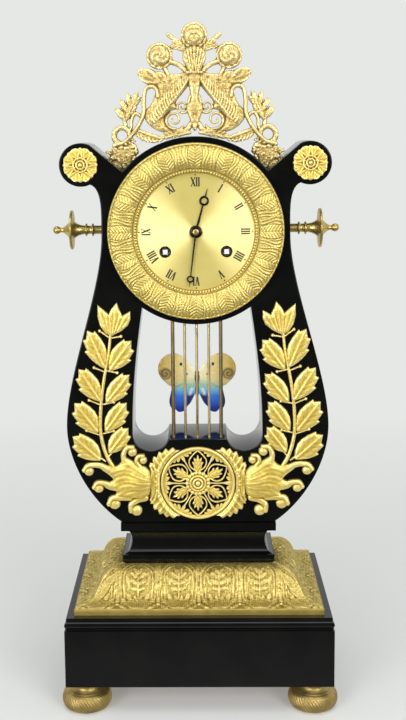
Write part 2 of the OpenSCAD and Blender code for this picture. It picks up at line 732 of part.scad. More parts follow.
// Strike train, on the left
second_k = 9;
second_n = 60;
second_m = 0.4;
pin_k = 10;
pin_n = 60;
pin_m = 0.3;
warning_k = 8;
warning_n = 56;
warning_m = 0.28;
fly_k = 7;
strike_p = [-winding_x, -winding_drop];
second_p = strike_p + polar(reach(barrel_n, second_k, barrel_m), 80);
pin_p = second_p + polar(reach(second_n, pin_k, second_m), 60);
warning_p = pin_p + polar(reach(pin_n, warning_k, pin_m), 120);
fly_p = warning_p + polar(reach(warning_n, fly_k, warning_m), 200);
hammer_p = [-31, 13];
second_f = mesh_phase(strike_p, barrel_n, 0, second_p, second_k);
pin_f = mesh_phase(second_p, second_n, second_f, pin_p, pin_k);
warning_f = mesh_phase(pin_p, pin_n, pin_f, warning_p, warning_k);
fly_f = mesh_phase(warning_p, warning_n, warning_f, fly_p, fly_k);

// Barrels with their springs and winding arbors
drum_r = 14.6;
drum_wall = 1;
drum_y = [3, 17];
barrel_teeth = 3;
arbor_r = 3;
square_w = 3.6;
ratchet_n = 20;
ratchet_r = 6.2;
ratchet_y = [-4.4, -2.6];
module barrel(p) {
    color(brass) at_head() difference() {
        union() {
            bar(p, drum_r, room_y + drum_y[0], room_y + drum_y[1]);
            translate([p[0], 0, p[1]]) slab(room_y + drum_y[1] - barrel_teeth, room_y + drum_y[1])
                polygon(gear(barrel_n, barrel_m, wheel_tip, wheel_root, 0));
        }
        bar(p, drum_r - drum_wall, room_y + drum_y[0] + drum_wall, room_y + drum_y[1] - drum_wall);
        bar(p, arbor_r + run_gap, room_y, back_y);
    }
}
spring_turns = 9;
spring_t = 0.35;
module mainspring(p) {
    r0 = arbor_r + 0.6;
    r1 = drum_r - drum_wall - 0.1;
    steps = 24 * spring_turns;
    function ring(i) = r0 + (r1 - spring_t - r0) * i / steps;
    color(steel) at_head() translate([p[0], 0, p[1]])
        slab(room_y + drum_y[0] + drum_wall + 0.3, room_y + drum_y[1] - drum_wall - 0.3)
            polygon(concat([for (i = [0:steps]) polar(ring(i), 15 * i)],
                [for (i = [steps:-1:0]) polar(ring(i) + spring_t, 15 * i)]));
}
function saw(n, r, depth, s) =
    [for (k = [0:n - 1]) each [polar(r - depth, s * 360 * k / n), polar(r, s * (360 * k / n + 1)),
        polar(r - depth * 0.4, s * (360 * k / n + 180 / n))]];
module winding_arbor(p, s) {
    color(steel) at_head() {
        bar(p, arbor_r, room_y + 0.4, room_y + drum_y[1] + 3);
        bar(p, 1.4, room_y + drum_y[1], rear_y);
        bar(p, 2.4, room_y - plate_t - 4, room_y + 1);
        translate([p[0] - square_w / 2, dial_y - 0.6, p[1] - square_w / 2])
            cube([square_w, room_y - plate_t - 3 - dial_y, square_w]);
        translate([p[0], 0, p[1]]) slab(room_y + ratchet_y[0], room_y + ratchet_y[1])
            polygon(saw(ratchet_n, ratchet_r, 1, s));
    }
}
module going_barrel() { barrel(going_p); }
module strike_barrel() { barrel(strike_p); }
module going_mainspring() { mainspring(going_p); }
module strike_mainspring() { mainspring(strike_p); }
module going_arbor() { winding_arbor(going_p, 1); }
module strike_arbor() { winding_arbor(strike_p, -1); }

// Clicks that ride on the ratchets, on studs of the front plate
click_off = 11;
click_stud_r = 1.1;
function click_p(p, s) = p + [s * 3, click_off];
module click(p, s) {
    c = click_p(p, s);
    tip = p + polar(ratchet_r + 0.2, 90 - s * 12);
    color(steel) at_head() difference() {
        slab(room_y + ratchet_y[0], room_y + ratchet_y[1]) {
            translate(c) circle(2.4);
            polygon([tip, tip + [s * 0.2, 1.6], c + [-s * 1.6, 1.6], c + [s * 1.2, -1.8]]);
        }
        bar(c, click_stud_r + run_gap, room_y - 8, room_y);
    }
}
module going_click() { click(going_p, 1); }
module strike_click() { click(strike_p, -1); }

module intermediate_wheel() {
    color(brass) at_head() {
        arbor(inter_p, 0.9);
        pinion(inter_p, inter_k, barrel_m, inter_f, 13.4, 17.6);
        wheel(inter_p, inter_n, inter_m, inter_f, 19, 20.2, 1.5);
    }
}
module centre_wheel() {
    color(brass) at_head() {
        bar(centre_p, 1.1, room_y + 0.4, back_y - 0.4);
        bar(centre_p, pivot_r, back_y - 1, rear_y);
        bar(centre_p, 1.1, hands_y - 1, room_y + 1);
        pinion(centre_p, centre_k, inter_m, centre_f, 18.4, 20.8);
        wheel(centre_p, centre_n, centre_m, centre_f, 22, 23.2, 1.6);
    }
}
module third_wheel() {
    color(brass) at_head() {
        arbor(third_p, 0.7);
        pinion(third_p, third_k, centre_m, third_f, 21.4, 23.8);
        wheel(third_p, third_n, third_m, third_f, 25, 26, 1.4);
    }
}
module escape_wheel() {
    color(brass) at_head() {
        bar(escape_p, pivot_r, room_y - plate_t, rear_y);
        pinion(escape_p, escape_k, third_m, escape_f, 24.2, 26.6);
        translate([escape_p[0], 0, escape_p[1]]) slab(room_y + 27.6, room_y + 28.6) difference() {
            low = escape_r - 1.1;
            polygon([for (k = [0:escape_n - 1]) each let (c = escape_f + 360 * k / escape_n)
                [polar(low, c), polar(escape_r, c + 3.4), polar(escape_r, c + 4.4), polar(low, c + 6)]]);
            for (i = [0:3]) rotate(escape_f + 90 * i + 45) spoke_gap(escape_r - 2.2, 1.2);
        }
    }
}
// Anchor over the escape wheel, with its arbor and the crutch behind the back plate
pallet_angle = 44;
pallet_gap = 1;
crutch_drop = 34;
crutch_y = rear_y + 1.6;
pallet_y = room_y + 27.4;
pallet_t = 1.4;
module anchor() {
    reach_p = escape_p - anchor_p;
    nib = [for (s = [-1, 1]) reach_p + polar(escape_r + pallet_gap, 90 + s * pallet_angle)];
    color(steel) at_head() {
        bar(anchor_p, 0.8, room_y + 0.4, rear_y + 3.6);
        bar(anchor_p, pivot_r, room_y - plate_t, cock_y + cock_t);
        translate([anchor_p[0], 0, anchor_p[1]]) {
            slab(pallet_y, pallet_y + pallet_t) {
                circle(1.8);
                for (i = [0, 1]) polygon([[0, 1.4], nib[i] + [i == 0 ? 1.6 : -1.6, 1.2], nib[i],
                    nib[i] + [i == 0 ? 0.5 : -0.5, 1.1], [0, -1.2]]);
            }
            slab(crutch_y, crutch_y + 1) {
                circle(1.8);
                translate([-0.9, -crutch_drop]) square([1.8, crutch_drop]);
            }
            for (s = [-1, 1]) translate([s * 1.7 - 0.5, crutch_y, -crutch_drop - 1.5])
                cube([1, rod_y + 1.6 - crutch_y, 1.5]);
            translate([-2.2, crutch_y, -crutch_drop - 1.5]) cube([4.4, 1, 2]);
        }
    }
}
// Cock that carries the anchor's back pivot and the pendulum's stud
cock_t = 1.6;
cock_w = 32;
cock_h = 8;
cock_leg = 5;
cock_y = rear_y + 4;
stud_r = 0.9;
stud_l = rod_y + 2.6;
module back_cock() {
    color(brass) at_head() difference() {
        union() {
            slab(cock_y, cock_y + cock_t) translate([-cock_w / 2, anchor_p[1] - cock_h / 2])
                square([cock_w, cock_h]);
            for (s = [-1, 1])
                translate([s * (cock_w - 6) / 2 - cock_leg / 2, rear_y, anchor_p[1] - cock_h / 2])
                cube([cock_leg, cock_y - rear_y + 0.2, cock_h]);
            bar(anchor_p, stud_r, cock_y + cock_t - 0.1, stud_l);
            bar(anchor_p, stud_r + 0.9, stud_l - 1, stud_l);
        }
        bar(anchor_p, pivot_r + run_gap, rear_y, cock_y + cock_t + 0.3);
    }
}

// Strike work
module count_wheel() {
    color(brass) at_head() {
        arbor(second_p, 0.9);
        pinion(second_p, second_k, barrel_m, second_f, 13.4, 17.6);
        wheel(second_p, second_n, second_m, second_f, 19, 20.2, 1.5);
        bar(second_p, pivot_r, back_y, rear_y + 2);
        slab(rear_y + 0.6, rear_y + 1.6) translate(second_p) difference() {
            circle(11);
            for (i = [0:10]) rotate(i * (i + 3) * 2.1) translate([9.6, -0.5]) square([3, 1]);
        }
    }
}
strike_pin_r = 7.8;
module pin_wheel() {
    color(brass) at_head() {
        arbor(pin_p, 0.8);
        pinion(pin_p, pin_k, second_m, pin_f, 18.4, 20.8);
        wheel(pin_p, pin_n, pin_m, pin_f, 24, 25.2, 1.5);
        for (i = [0:7]) bar(pin_p + polar(strike_pin_r, 45 * i), 0.35, room_y + 25.1, room_y + 26.4);
    }
}
module warning_wheel() {
    color(brass) at_head() {
        arbor(warning_p, 0.7);
        pinion(warning_p, warning_k, pin_m, warning_f, 23.4, 25.8);
        wheel(warning_p, warning_n, warning_m, warning_f, 27, 28, 1.4);
    }
}
fly_w = 6.2;
module fly() {
    color(brass) at_head() {
        bar(fly_p, 0.65, room_y + 0.4, back_y - 0.4);
        bar(fly_p, pivot_r, room_y - plate_t, rear_y);
        pinion(fly_p, fly_k, warning_m, fly_f, 26.4, 28.6);
        translate([fly_p[0] - fly_w, room_y + 4, fly_p[1] - 0.4]) cube([2 * fly_w, 12, 0.8]);
    }
}
// Bell on its stand, and the hammer that strikes its rim
bell_p = [14, -6];
bell_y = rear_y + 15;
bell_wall = 1.2;
bell_depth = 18;
stand_r = 2;
strike_at = 135;
hammer_head_r = 2.4;
hammer_gap = 0.5;
tail_y = room_y + 25.5;
tail_t = 0.7;
head_p = bell_p + polar(bell_r + hammer_gap + hammer_head_r, strike_at);
module bell() {
    hole = stand_r + fit_gap;
    inner_r = bell_r - bell_wall;
    inner_d = bell_depth - bell_wall;
    shape = concat([[bell_r, 0]], [for (a = [10:10:80]) [bell_r * cos(a), bell_depth * sin(a)]],
        [[hole, bell_depth], [hole, inner_d]],
        [for (a = [80:-10:10]) [inner_r * cos(a), inner_d * sin(a)]], [[inner_r, 0]]);
    color(brass) at_head() translate([bell_p[0], bell_y, bell_p[1]]) rotate([-90, 0, 0])
        rotate_extrude() polygon(shape);
}
module bell_stand() {
    top = bell_y + bell_depth;
    color(steel) at_head() {
        bar(bell_p, stand_r, rear_y, top + 2);
        bar(bell_p, stand_r + 1.5, top - bell_wall - 2.6, top - bell_wall - 0.6);
        bar(bell_p, stand_r + 1.5, top, top + 2);
        bar(bell_p, stand_r + 2, rear_y, rear_y + 2);
    }
}
module hammer() {
    arm_y = bell_y - 2.4;
    tail = bearing(hammer_p, pin_p);
    color(steel) at_head() {
        bar(hammer_p, 0.9, room_y + 0.4, back_y - 0.4);
        bar(hammer_p, pivot_r, room_y - plate_t, rear_y + 1);
        bar(hammer_p, pivot_r, rear_y, arm_y + 1.2);
        bar(hammer_p, 1.8, arm_y, arm_y + 1.2);
        slab(arm_y, arm_y + 1.2) translate(hammer_p) rotate(bearing(hammer_p, head_p))
            translate([0, -0.7]) square([dist(hammer_p, head_p), 1.4]);
        bar(head_p, hammer_head_r, arm_y, bell_y + 3);
        slab(tail_y, tail_y + tail_t) translate(hammer_p) rotate(tail)
            translate([0, -0.7]) square([dist(hammer_p, pin_p) - strike_pin_r - 0.8, 1.4]);
    }
}

// Plates and pillars
pillar_r = 2.4;
pillar_places = [for (a = [20, 160, 285, 255]) polar(plate_r - 5, a)];
pivots = [inter_p, third_p, escape_p, second_p, pin_p, warning_p, fly_p, hammer_p];
module plate_holes(y0, y1, arbor_hole) {
    for (p = pivots) bar(p, pivot_r + run_gap, y0, y1);
    for (p = [going_p, strike_p]) bar(p, arbor_hole + run_gap, y0, y1);
    for (p = pillar_places) bar(p, pillar_r * 0.6 + fit_gap, y0, y1);
}
module front_plate() {
    y0 = plate_y;
    color(brass) at_head() {
        difference() {
            bar([0, 0], plate_r, y0, y0 + plate_t);
            plate_holes(y0 - 1, y0 + plate_t + 1, 2.4);
            bar(centre_p, 1.1 + run_gap, y0 - 1, y0 + plate_t + 1);
            bar(anchor_p, pivot_r + run_gap, y0 - 1, y0 + plate_t + 1);
        }
        bar(stud_p, 1.2, y0 - 6, y0 + 0.2);
        for (s = [-1, 1]) bar(click_p([s * winding_x, -winding_drop], s), click_stud_r, y0 - 3, y0 + 0.2);
    }
}
module back_plate() {
    color(brass) at_head() difference() {
        bar([0, 0], plate_r, back_y, rear_y);
        plate_holes(back_y - 1, rear_y + 1, 1.4);
        bar(centre_p, pivot_r + run_gap, back_y - 1, rear_y + 1);
        bar(anchor_p, 2, back_y - 1, rear_y + 1);
    }
}
module pillars() {
    color(brass) at_head() for (p = pillar_places) {
        bar(p, pillar_r, room_y, back_y);
        bar(p, pillar_r * 0.6, plate_y, rear_y);
    }
}

// Motion work behind the dial, and the hands
minute_f = mesh_phase(centre_p, cannon_k, 0, stud_p, minute_n);
hour_f = mesh_phase(stud_p, minute_k, minute_f, centre_p, hour_n);
hour_y = dial_y - 1.3;
hand_t = 0.7;
hands_y = hour_y - 2.9;
cannon_r = 1.9;
pipe_r = 2.7;
hour_angle = minute_angle / 12;
module cannon_pinion() {
    color(steel) at_head() difference() {
        union() {
            pinion(centre_p, cannon_k, minute_m, 0, -4, -2.4);
            bar(centre_p, cannon_r, hour_y - 1.2, room_y - 3);
        }
        bar(centre_p, 1.1 + run_gap, hands_y - 5, room_y);
    }
}
module minute_wheel() {
    color(brass) at_head() difference() {
        union() {
            wheel(stud_p, minute_n, minute_m, minute_f, -4, -2.8, 2.4);
            pinion(stud_p, minute_k, hour_m, minute_f, -5.8, -3.9);
            bar(stud_p, 2.2, room_y - 4, room_y - 2.4);
        }
        bar(stud_p, 1.2 + run_gap, room_y - 12, room_y);
    }
}
module hour_wheel() {
    color(brass) at_head() difference() {
        union() {
            wheel(centre_p, hour_n, hour_m, hour_f, -5.8, -4.6, 3.4);
            bar(centre_p, pipe_r, hour_y, room_y - 4.6);
        }
        bar(centre_p, cannon_r + run_gap, hands_y - 5, room_y);
    }
}
// Moon hand: hub, tapering shaft, pierced ring and pointed tip, drawn upwards
module moon_hand(l, hub, ring, ring_r, w) {
    circle(hub);
    polygon([[-w, 0], [w, 0], [w * 0.5, ring - ring_r * 0.8], [-w * 0.5, ring - ring_r * 0.8]]);
    translate([0, ring]) difference() {
        circle(ring_r);
        translate([0, ring_r * 0.14]) circle(ring_r * 0.58);
    }
    polygon([[-w * 0.6, ring + ring_r * 0.7], [w * 0.6, ring + ring_r * 0.7], [0.15, l], [-0.15, l]]);
}
module hour_hand() {
    color(steel) at_head() difference() {
        slab(hour_y - hand_t, hour_y) rotate(-hour_angle) moon_hand(hour_l, 4.6, 24.6, 3.6, 1.1);
        bar(centre_p, cannon_r + run_gap, hands_y - 5, room_y);
    }
    color(steel) at_head() difference() {
        bar(centre_p, pipe_r + 0.9, hour_y - 0.1, hour_y + 0.6);
        bar(centre_p, pipe_r, hands_y - 5, room_y);
    }
}
module minute_hand() {
    y = hour_y - 1.2;
    color(steel) at_head() difference() {
        slab(y - hand_t, y) rotate(-minute_angle) moon_hand(minute_l, 3.6, 36.6, 2.6, 0.9);
        bar(centre_p, 1.1 + run_gap, hands_y - 5, room_y);
    }
}
module hand_nut() {
    y = hour_y - 1.2 - hand_t;
    color(brass) at_head() translate([0, y, 0]) rotate([90, 0, 0]) rotate_extrude()
        polygon([[1.1 + run_gap, 0], [2.4, 0], [2.2, 0.8], [1.1 + run_gap, 1]]);
}

// Pendulum with an enamelled butterfly
rod_r = 0.8;
eye_r = 2.2;
butterfly_t = 1.6;
module pendulum_rod() {
    low = anchor_p[1] - pendulum_l + 8;
    color(steel) at_head() difference() {
        union() {
            translate([0, rod_y, low]) cylinder(r = rod_r, h = pendulum_l - 8 - stud_r);
            bar(anchor_p, eye_r, rod_y - 0.8, rod_y + 0.8);
        }
        bar(anchor_p, stud_r + run_gap, rod_y - 3, rod_y + 3);
    }
}
module butterfly_half() {
    w = butterfly_w;
    // Fore wing, hind wing
    polygon(concat(curve([0.5, 9], [w * 0.22, 20], [w * 0.55, 29], [w * 0.86, 21.5], 10),
        curve([w * 0.86, 21.5], [w * 1.06, 16], [w, 6], [w * 0.68, -0.5], 8),
        curve([w * 0.68, -0.5], [w * 0.4, -3], [w * 0.2, -2.5], [0.5, -2], 6)));
    polygon(concat([[0.5, 0]], curve([w * 0.4, 0], [w * 0.66, -1], [w * 0.72, -8], [w * 0.7, -15], 8),
        curve([w * 0.7, -15], [w * 0.64, -24], [w * 0.4, -26], [w * 0.25, -17.5], 8),
        curve([w * 0.25, -17.5], [w * 0.18, -13], [w * 0.08, -9], [0.5, -5], 6)));
}
module butterfly_bob() {
    color([0.25, 0.45, 0.7]) at_head() translate([0, 0, anchor_p[1] - pendulum_l]) difference() {
        union() {
            slab(rod_y - butterfly_t / 2, rod_y + butterfly_t / 2) {
                butterfly_half();
                mirror([1, 0]) butterfly_half();
            }
            translate([0, rod_y, -9]) cylinder(r = 2.2, h = 21);
        }
        translate([0, rod_y, 8 - fit_gap]) cylinder(r = rod_r + fit_gap, h = 40);
    }
}

base_board();
plinth_box();
plinth_top();
foot_front_left();
foot_front_right();
foot_back_left();
foot_back_right();
foot_screws();
cushion_core();
cushion_moulding();
pedestal();
tie_bolts();
lyre_frame();
rosette_left();
rosette_right();
peg_left();
peg_right();
strings();
branch_left();
branch_right();
medallion();
crest();
movement_case();
bezel();
sight_ring();
dial();
front_plate();
back_plate();
pillars();
back_cock();
bell();
bell_stand();
going_barrel();
going_mainspring();
going_arbor();
going_click();
intermediate_wheel();
centre_wheel();
third_wheel();
escape_wheel();
anchor();
strike_barrel();
strike_mainspring();
strike_arbor();
strike_click();
count_wheel();
pin_wheel();
warning_wheel();
fly();
hammer();
cannon_pinion();
minute_wheel();
hour_wheel();
hour_hand();
minute_hand();
hand_nut();
pendulum_rod();
butterfly_bob();
rear_door();
door_hinge_pin();
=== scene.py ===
"""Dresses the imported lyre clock: cast gilt, ebonised wood, a brushed dial and an enamelled butterfly."""
import math

import bpy
import numpy as np

from mathutils import Matrix, Vector

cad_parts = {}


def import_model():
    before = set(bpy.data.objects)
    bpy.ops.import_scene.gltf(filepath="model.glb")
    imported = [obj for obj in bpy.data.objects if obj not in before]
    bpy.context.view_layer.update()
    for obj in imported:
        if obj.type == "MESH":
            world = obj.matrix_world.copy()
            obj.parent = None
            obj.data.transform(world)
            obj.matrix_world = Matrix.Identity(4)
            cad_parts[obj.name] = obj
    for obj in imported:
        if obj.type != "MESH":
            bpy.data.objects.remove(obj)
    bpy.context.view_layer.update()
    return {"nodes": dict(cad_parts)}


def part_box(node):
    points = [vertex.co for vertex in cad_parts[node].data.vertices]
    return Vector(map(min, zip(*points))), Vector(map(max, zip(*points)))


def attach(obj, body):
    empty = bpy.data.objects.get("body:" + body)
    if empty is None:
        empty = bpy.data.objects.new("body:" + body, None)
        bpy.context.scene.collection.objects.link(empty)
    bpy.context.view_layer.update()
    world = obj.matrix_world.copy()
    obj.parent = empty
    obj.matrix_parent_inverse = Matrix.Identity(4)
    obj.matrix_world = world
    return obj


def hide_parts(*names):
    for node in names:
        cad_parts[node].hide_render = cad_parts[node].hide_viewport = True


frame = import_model()

# Millimetres are used throughout and become metres where a mesh is made
MM = 0.001
FAR = 1000.0


def box_mm(node):
    """Lowest and highest corners of a CAD node in millimetres."""
    low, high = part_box(node)
    return np.array(low) / MM, np.array(high) / MM


def middle_mm(node):
    """Middle of a CAD node and half its size, in millimetres."""
    low, high = box_mm(node)
    return (low + high) / 2, (high - low) / 2


# Places read from the frame
BEZEL_MIDDLE, BEZEL_HALF = middle_mm("bezel")
LYRE_LOW, LYRE_HIGH = box_mm("lyre_frame")
HEAD_Z = BEZEL_MIDDLE[2]
FRONT_Y = LYRE_LOW[1]
LYRE_Z = LYRE_LOW[2]
MEDALLION_Z = middle_mm("medallion")[0][2]
MEDALLION_R = middle_mm("medallion")[1][0]
DIAL_Y = box_mm("dial")[0][1]


# Curves and distances

def clamp(q):
    """A share kept between 0 and 1."""
    return np.clip(q, 0, 1)


def along(points, closed=False, steps=6):
    """A smooth line through given points."""
    p = np.array(points, float)
    if closed:
        ring = np.vstack([p[-1], p, p[0], p[1]])
    else:
        ring = np.vstack([2 * p[0] - p[1], p, 2 * p[-1] - p[-2]])
    t = np.linspace(0, 1, steps, endpoint=False)[:, None]
    spans = []
    for a, b, c, d in zip(ring[:-3], ring[1:-2], ring[2:-1], ring[3:]):
        bend = 2 * a - 5 * b + 4 * c - d
        spans.append(b + 0.5 * t * (c - a + t * (bend + t * (3 * (b - c) + d - a))))
    line = np.vstack(spans)
    return line if closed else np.vstack([line, p[-1:]])


def bezier(a, b, c, d, steps):
    """Points of a cubic curve, without its last point."""
    t = np.linspace(0, 1, steps, endpoint=False)[:, None]
    a, b, c, d = (np.array(q, float) for q in (a, b, c, d))
    return (1 - t) ** 3 * a + 3 * t * (1 - t) ** 2 * b + 3 * t * t * (1 - t) * c + t ** 3 * d


def arc(centre, r, start, end, steps):
    """Points of an arc, angles in degrees."""
    a = np.radians(np.linspace(start, end, steps))
    return np.stack([centre[0] + r * np.cos(a), centre[1] + r * np.sin(a)], 1)


def full_turn(steps):
    """Even angles round a full turn."""
    return np.linspace(0, math.tau, steps, endpoint=False)


def polar(r, degrees, centre=(0, 0)):
    """A place at a radius and an angle."""
    a = math.radians(degrees)
    return centre[0] + r * math.cos(a), centre[1] + r * math.sin(a)


def line_distance(x, z, line):
    """Distance from each place to a line of points, and how far along it the nearest point is, 0 to 1."""
    lengths = np.hypot(*np.diff(line, axis=0).T)
    starts = np.concatenate([[0], np.cumsum(lengths)])
    nearest = np.full(x.shape, FAR)
    travelled = np.zeros(x.shape)
    for a, b, length, start in zip(line[:-1], line[1:], lengths, starts):
        if length == 0:
            continue
        t = ((x - a[0]) * (b[0] - a[0]) + (z - a[1]) * (b[1] - a[1])) / length ** 2
        t = clamp(t)
        d = np.hypot(x - a[0] - t * (b[0] - a[0]), z - a[1] - t * (b[1] - a[1]))
        nearer = d < nearest
        nearest = np.where(nearer, d, nearest)
        travelled = np.where(nearer, start + t * length, travelled)
    return nearest, travelled / starts[-1]


def inside_of(x, z, line):
    """Which places lie inside a closed line of points."""
    inside = np.zeros(x.shape, bool)
    for a, b in zip(line, np.roll(line, -1, axis=0)):
        crosses = (a[1] > z) != (b[1] > z)
        rise = b[1] - a[1] if b[1] != a[1] else 1.0
        inside ^= crosses & (x < (b[0] - a[0]) * (z - a[1]) / rise + a[0])
    return inside


def dome(q):
    """Round shoulder: 0 at an edge, 1 from q = 1 inwards."""
    return np.sqrt(clamp(1 - (1 - clamp(q)) ** 2))


# Meshes

def in_scene(name, data):
    """A new object in the scene."""
    obj = bpy.data.objects.new(name, data)
    bpy.context.scene.collection.objects.link(obj)
    return obj


def add_mesh(name, points, faces, material, body="case", sharp=40, **values):
    """One smooth-shaded object in the frame, with optional per-point values for its material."""
    mesh = bpy.data.meshes.new(name)
    faces = faces if isinstance(faces, list) else faces.tolist()
    mesh.from_pydata((np.asarray(points, float) * MM).tolist(), [], faces)
    for key, value in values.items():
        colour = value.ndim == 2
        layer = mesh.attributes.new(key, "FLOAT_COLOR" if colour else "FLOAT", "POINT")
        if colour:
            value = np.hstack([value, np.ones((len(value), 1))])
        layer.data.foreach_set("color" if colour else "value", value.astype(np.float32).ravel())
    mesh.materials.append(material)
    mesh.shade_smooth()
    mesh.set_sharp_from_angle(angle=math.radians(sharp))
    obj = in_scene(name, mesh)
    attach(obj, body)
    return obj


def outward(points, faces):
    """Faces turned so that a closed mesh has its normals outside."""
    a, b, c = (points[faces[:, i]] for i in range(3))
    d = points[faces[:, 3]] if faces.shape[1] == 4 else c
    volume = np.einsum("ij,ij->", a, np.cross(b, c)) + np.einsum("ij,ij->", a, np.cross(c, d))
    return faces[:, ::-1] if volume < 0 else faces


def grid_faces(n, m, wrap_n=False, wrap_m=False):
    """Quads of an n by m grid of points."""
    i, j = np.meshgrid(np.arange(n if wrap_n else n - 1), np.arange(m if wrap_m else m - 1), indexing="ij")
    i, j = i.ravel(), j.ravel()
    after_i, after_j = (i + 1) % n, (j + 1) % m
    return np.stack([i * m + j, after_i * m + j, after_i * m + after_j, i * m + after_j], 1)


def corners(values):
    """The four corner values of each cell of a grid."""
    return values[:-1, :-1], values[1:, :-1], values[1:, 1:], values[:-1, 1:]


AXES = {
    "front": lambda u, v, h: (u, -h, v),
    "up": lambda u, v, h: (u, v, h),
    "right": lambda u, v, h: (h, u, v),
    "left": lambda u, v, h: (-h, u, v),
}


def to_axis(line):
    """A line of (radius, height) with its ends led in to the axis."""
    return np.vstack([[(0, line[0][1])], line, [(0, line[-1][1])]])


def lathe(name, profile, centre, axis, material, body="case", turns=96, shape=None):
    """A closed turned piece: profile is a closed loop of (radius, height) and shape may carve its radius."""
    r, h = np.array(profile, float).T
    r, h, a = r[None, :], h[None, :], full_turn(turns)[:, None]
    if shape:
        r = r + shape(a, r, h)
    x, y, z = AXES[axis](r * np.cos(a), r * np.sin(a), h + 0 * a)
    points = np.stack([x, y, z], -1).reshape(-1, 3) + np.array(centre, float)
    faces = outward(points, grid_faces(turns, len(profile), True, True))
    return add_mesh(name, points, faces, material, body)


def blurred(values, passes=3):
    """Heights averaged over their neighbours."""
    for _ in range(passes):
        for axis in (0, 1):
            values = (np.roll(values, 2, axis) + values + np.roll(values, -2, axis)) / 3
    return values


# How far a height stands out from its blurred surroundings before the painted highlight and burnish on a
# ridge, and the painted shade in a hollow, are full, the share of height kept at an edge, and the height that
# ornament starts from
PAINTED_LIGHT_HEIGHT = 0.42
EDGE_SHARE = 0.55
CAST_BASE = 0.9
# Grid of the large castings
RELIEF_STEP = 0.4
# Degrees at which a scroll starts to wind
VOLUTE_START = -100
# How blunt a leaf ends
LEAF_FALL = 0.62
# Edge of a broad pointed leaf: places along it and across it, as shares of its length and width
SPRAY = [
    (0, 0.05), (0.08, 0.17), (0.18, 0.3), (0.3, 0.42), (0.42, 0.5), (0.56, 0.57), (0.57, 0.44), (0.7, 0.43),
    (0.82, 0.41), (0.82, 0.25), (0.91, 0.13), (1, 0.02), (0.93, -0.12), (0.89, -0.21), (0.92, -0.31),
    (0.82, -0.37), (0.68, -0.44), (0.5, -0.48), (0.32, -0.43), (0.16, -0.29), (0.05, -0.13), (0, -0.05),
]


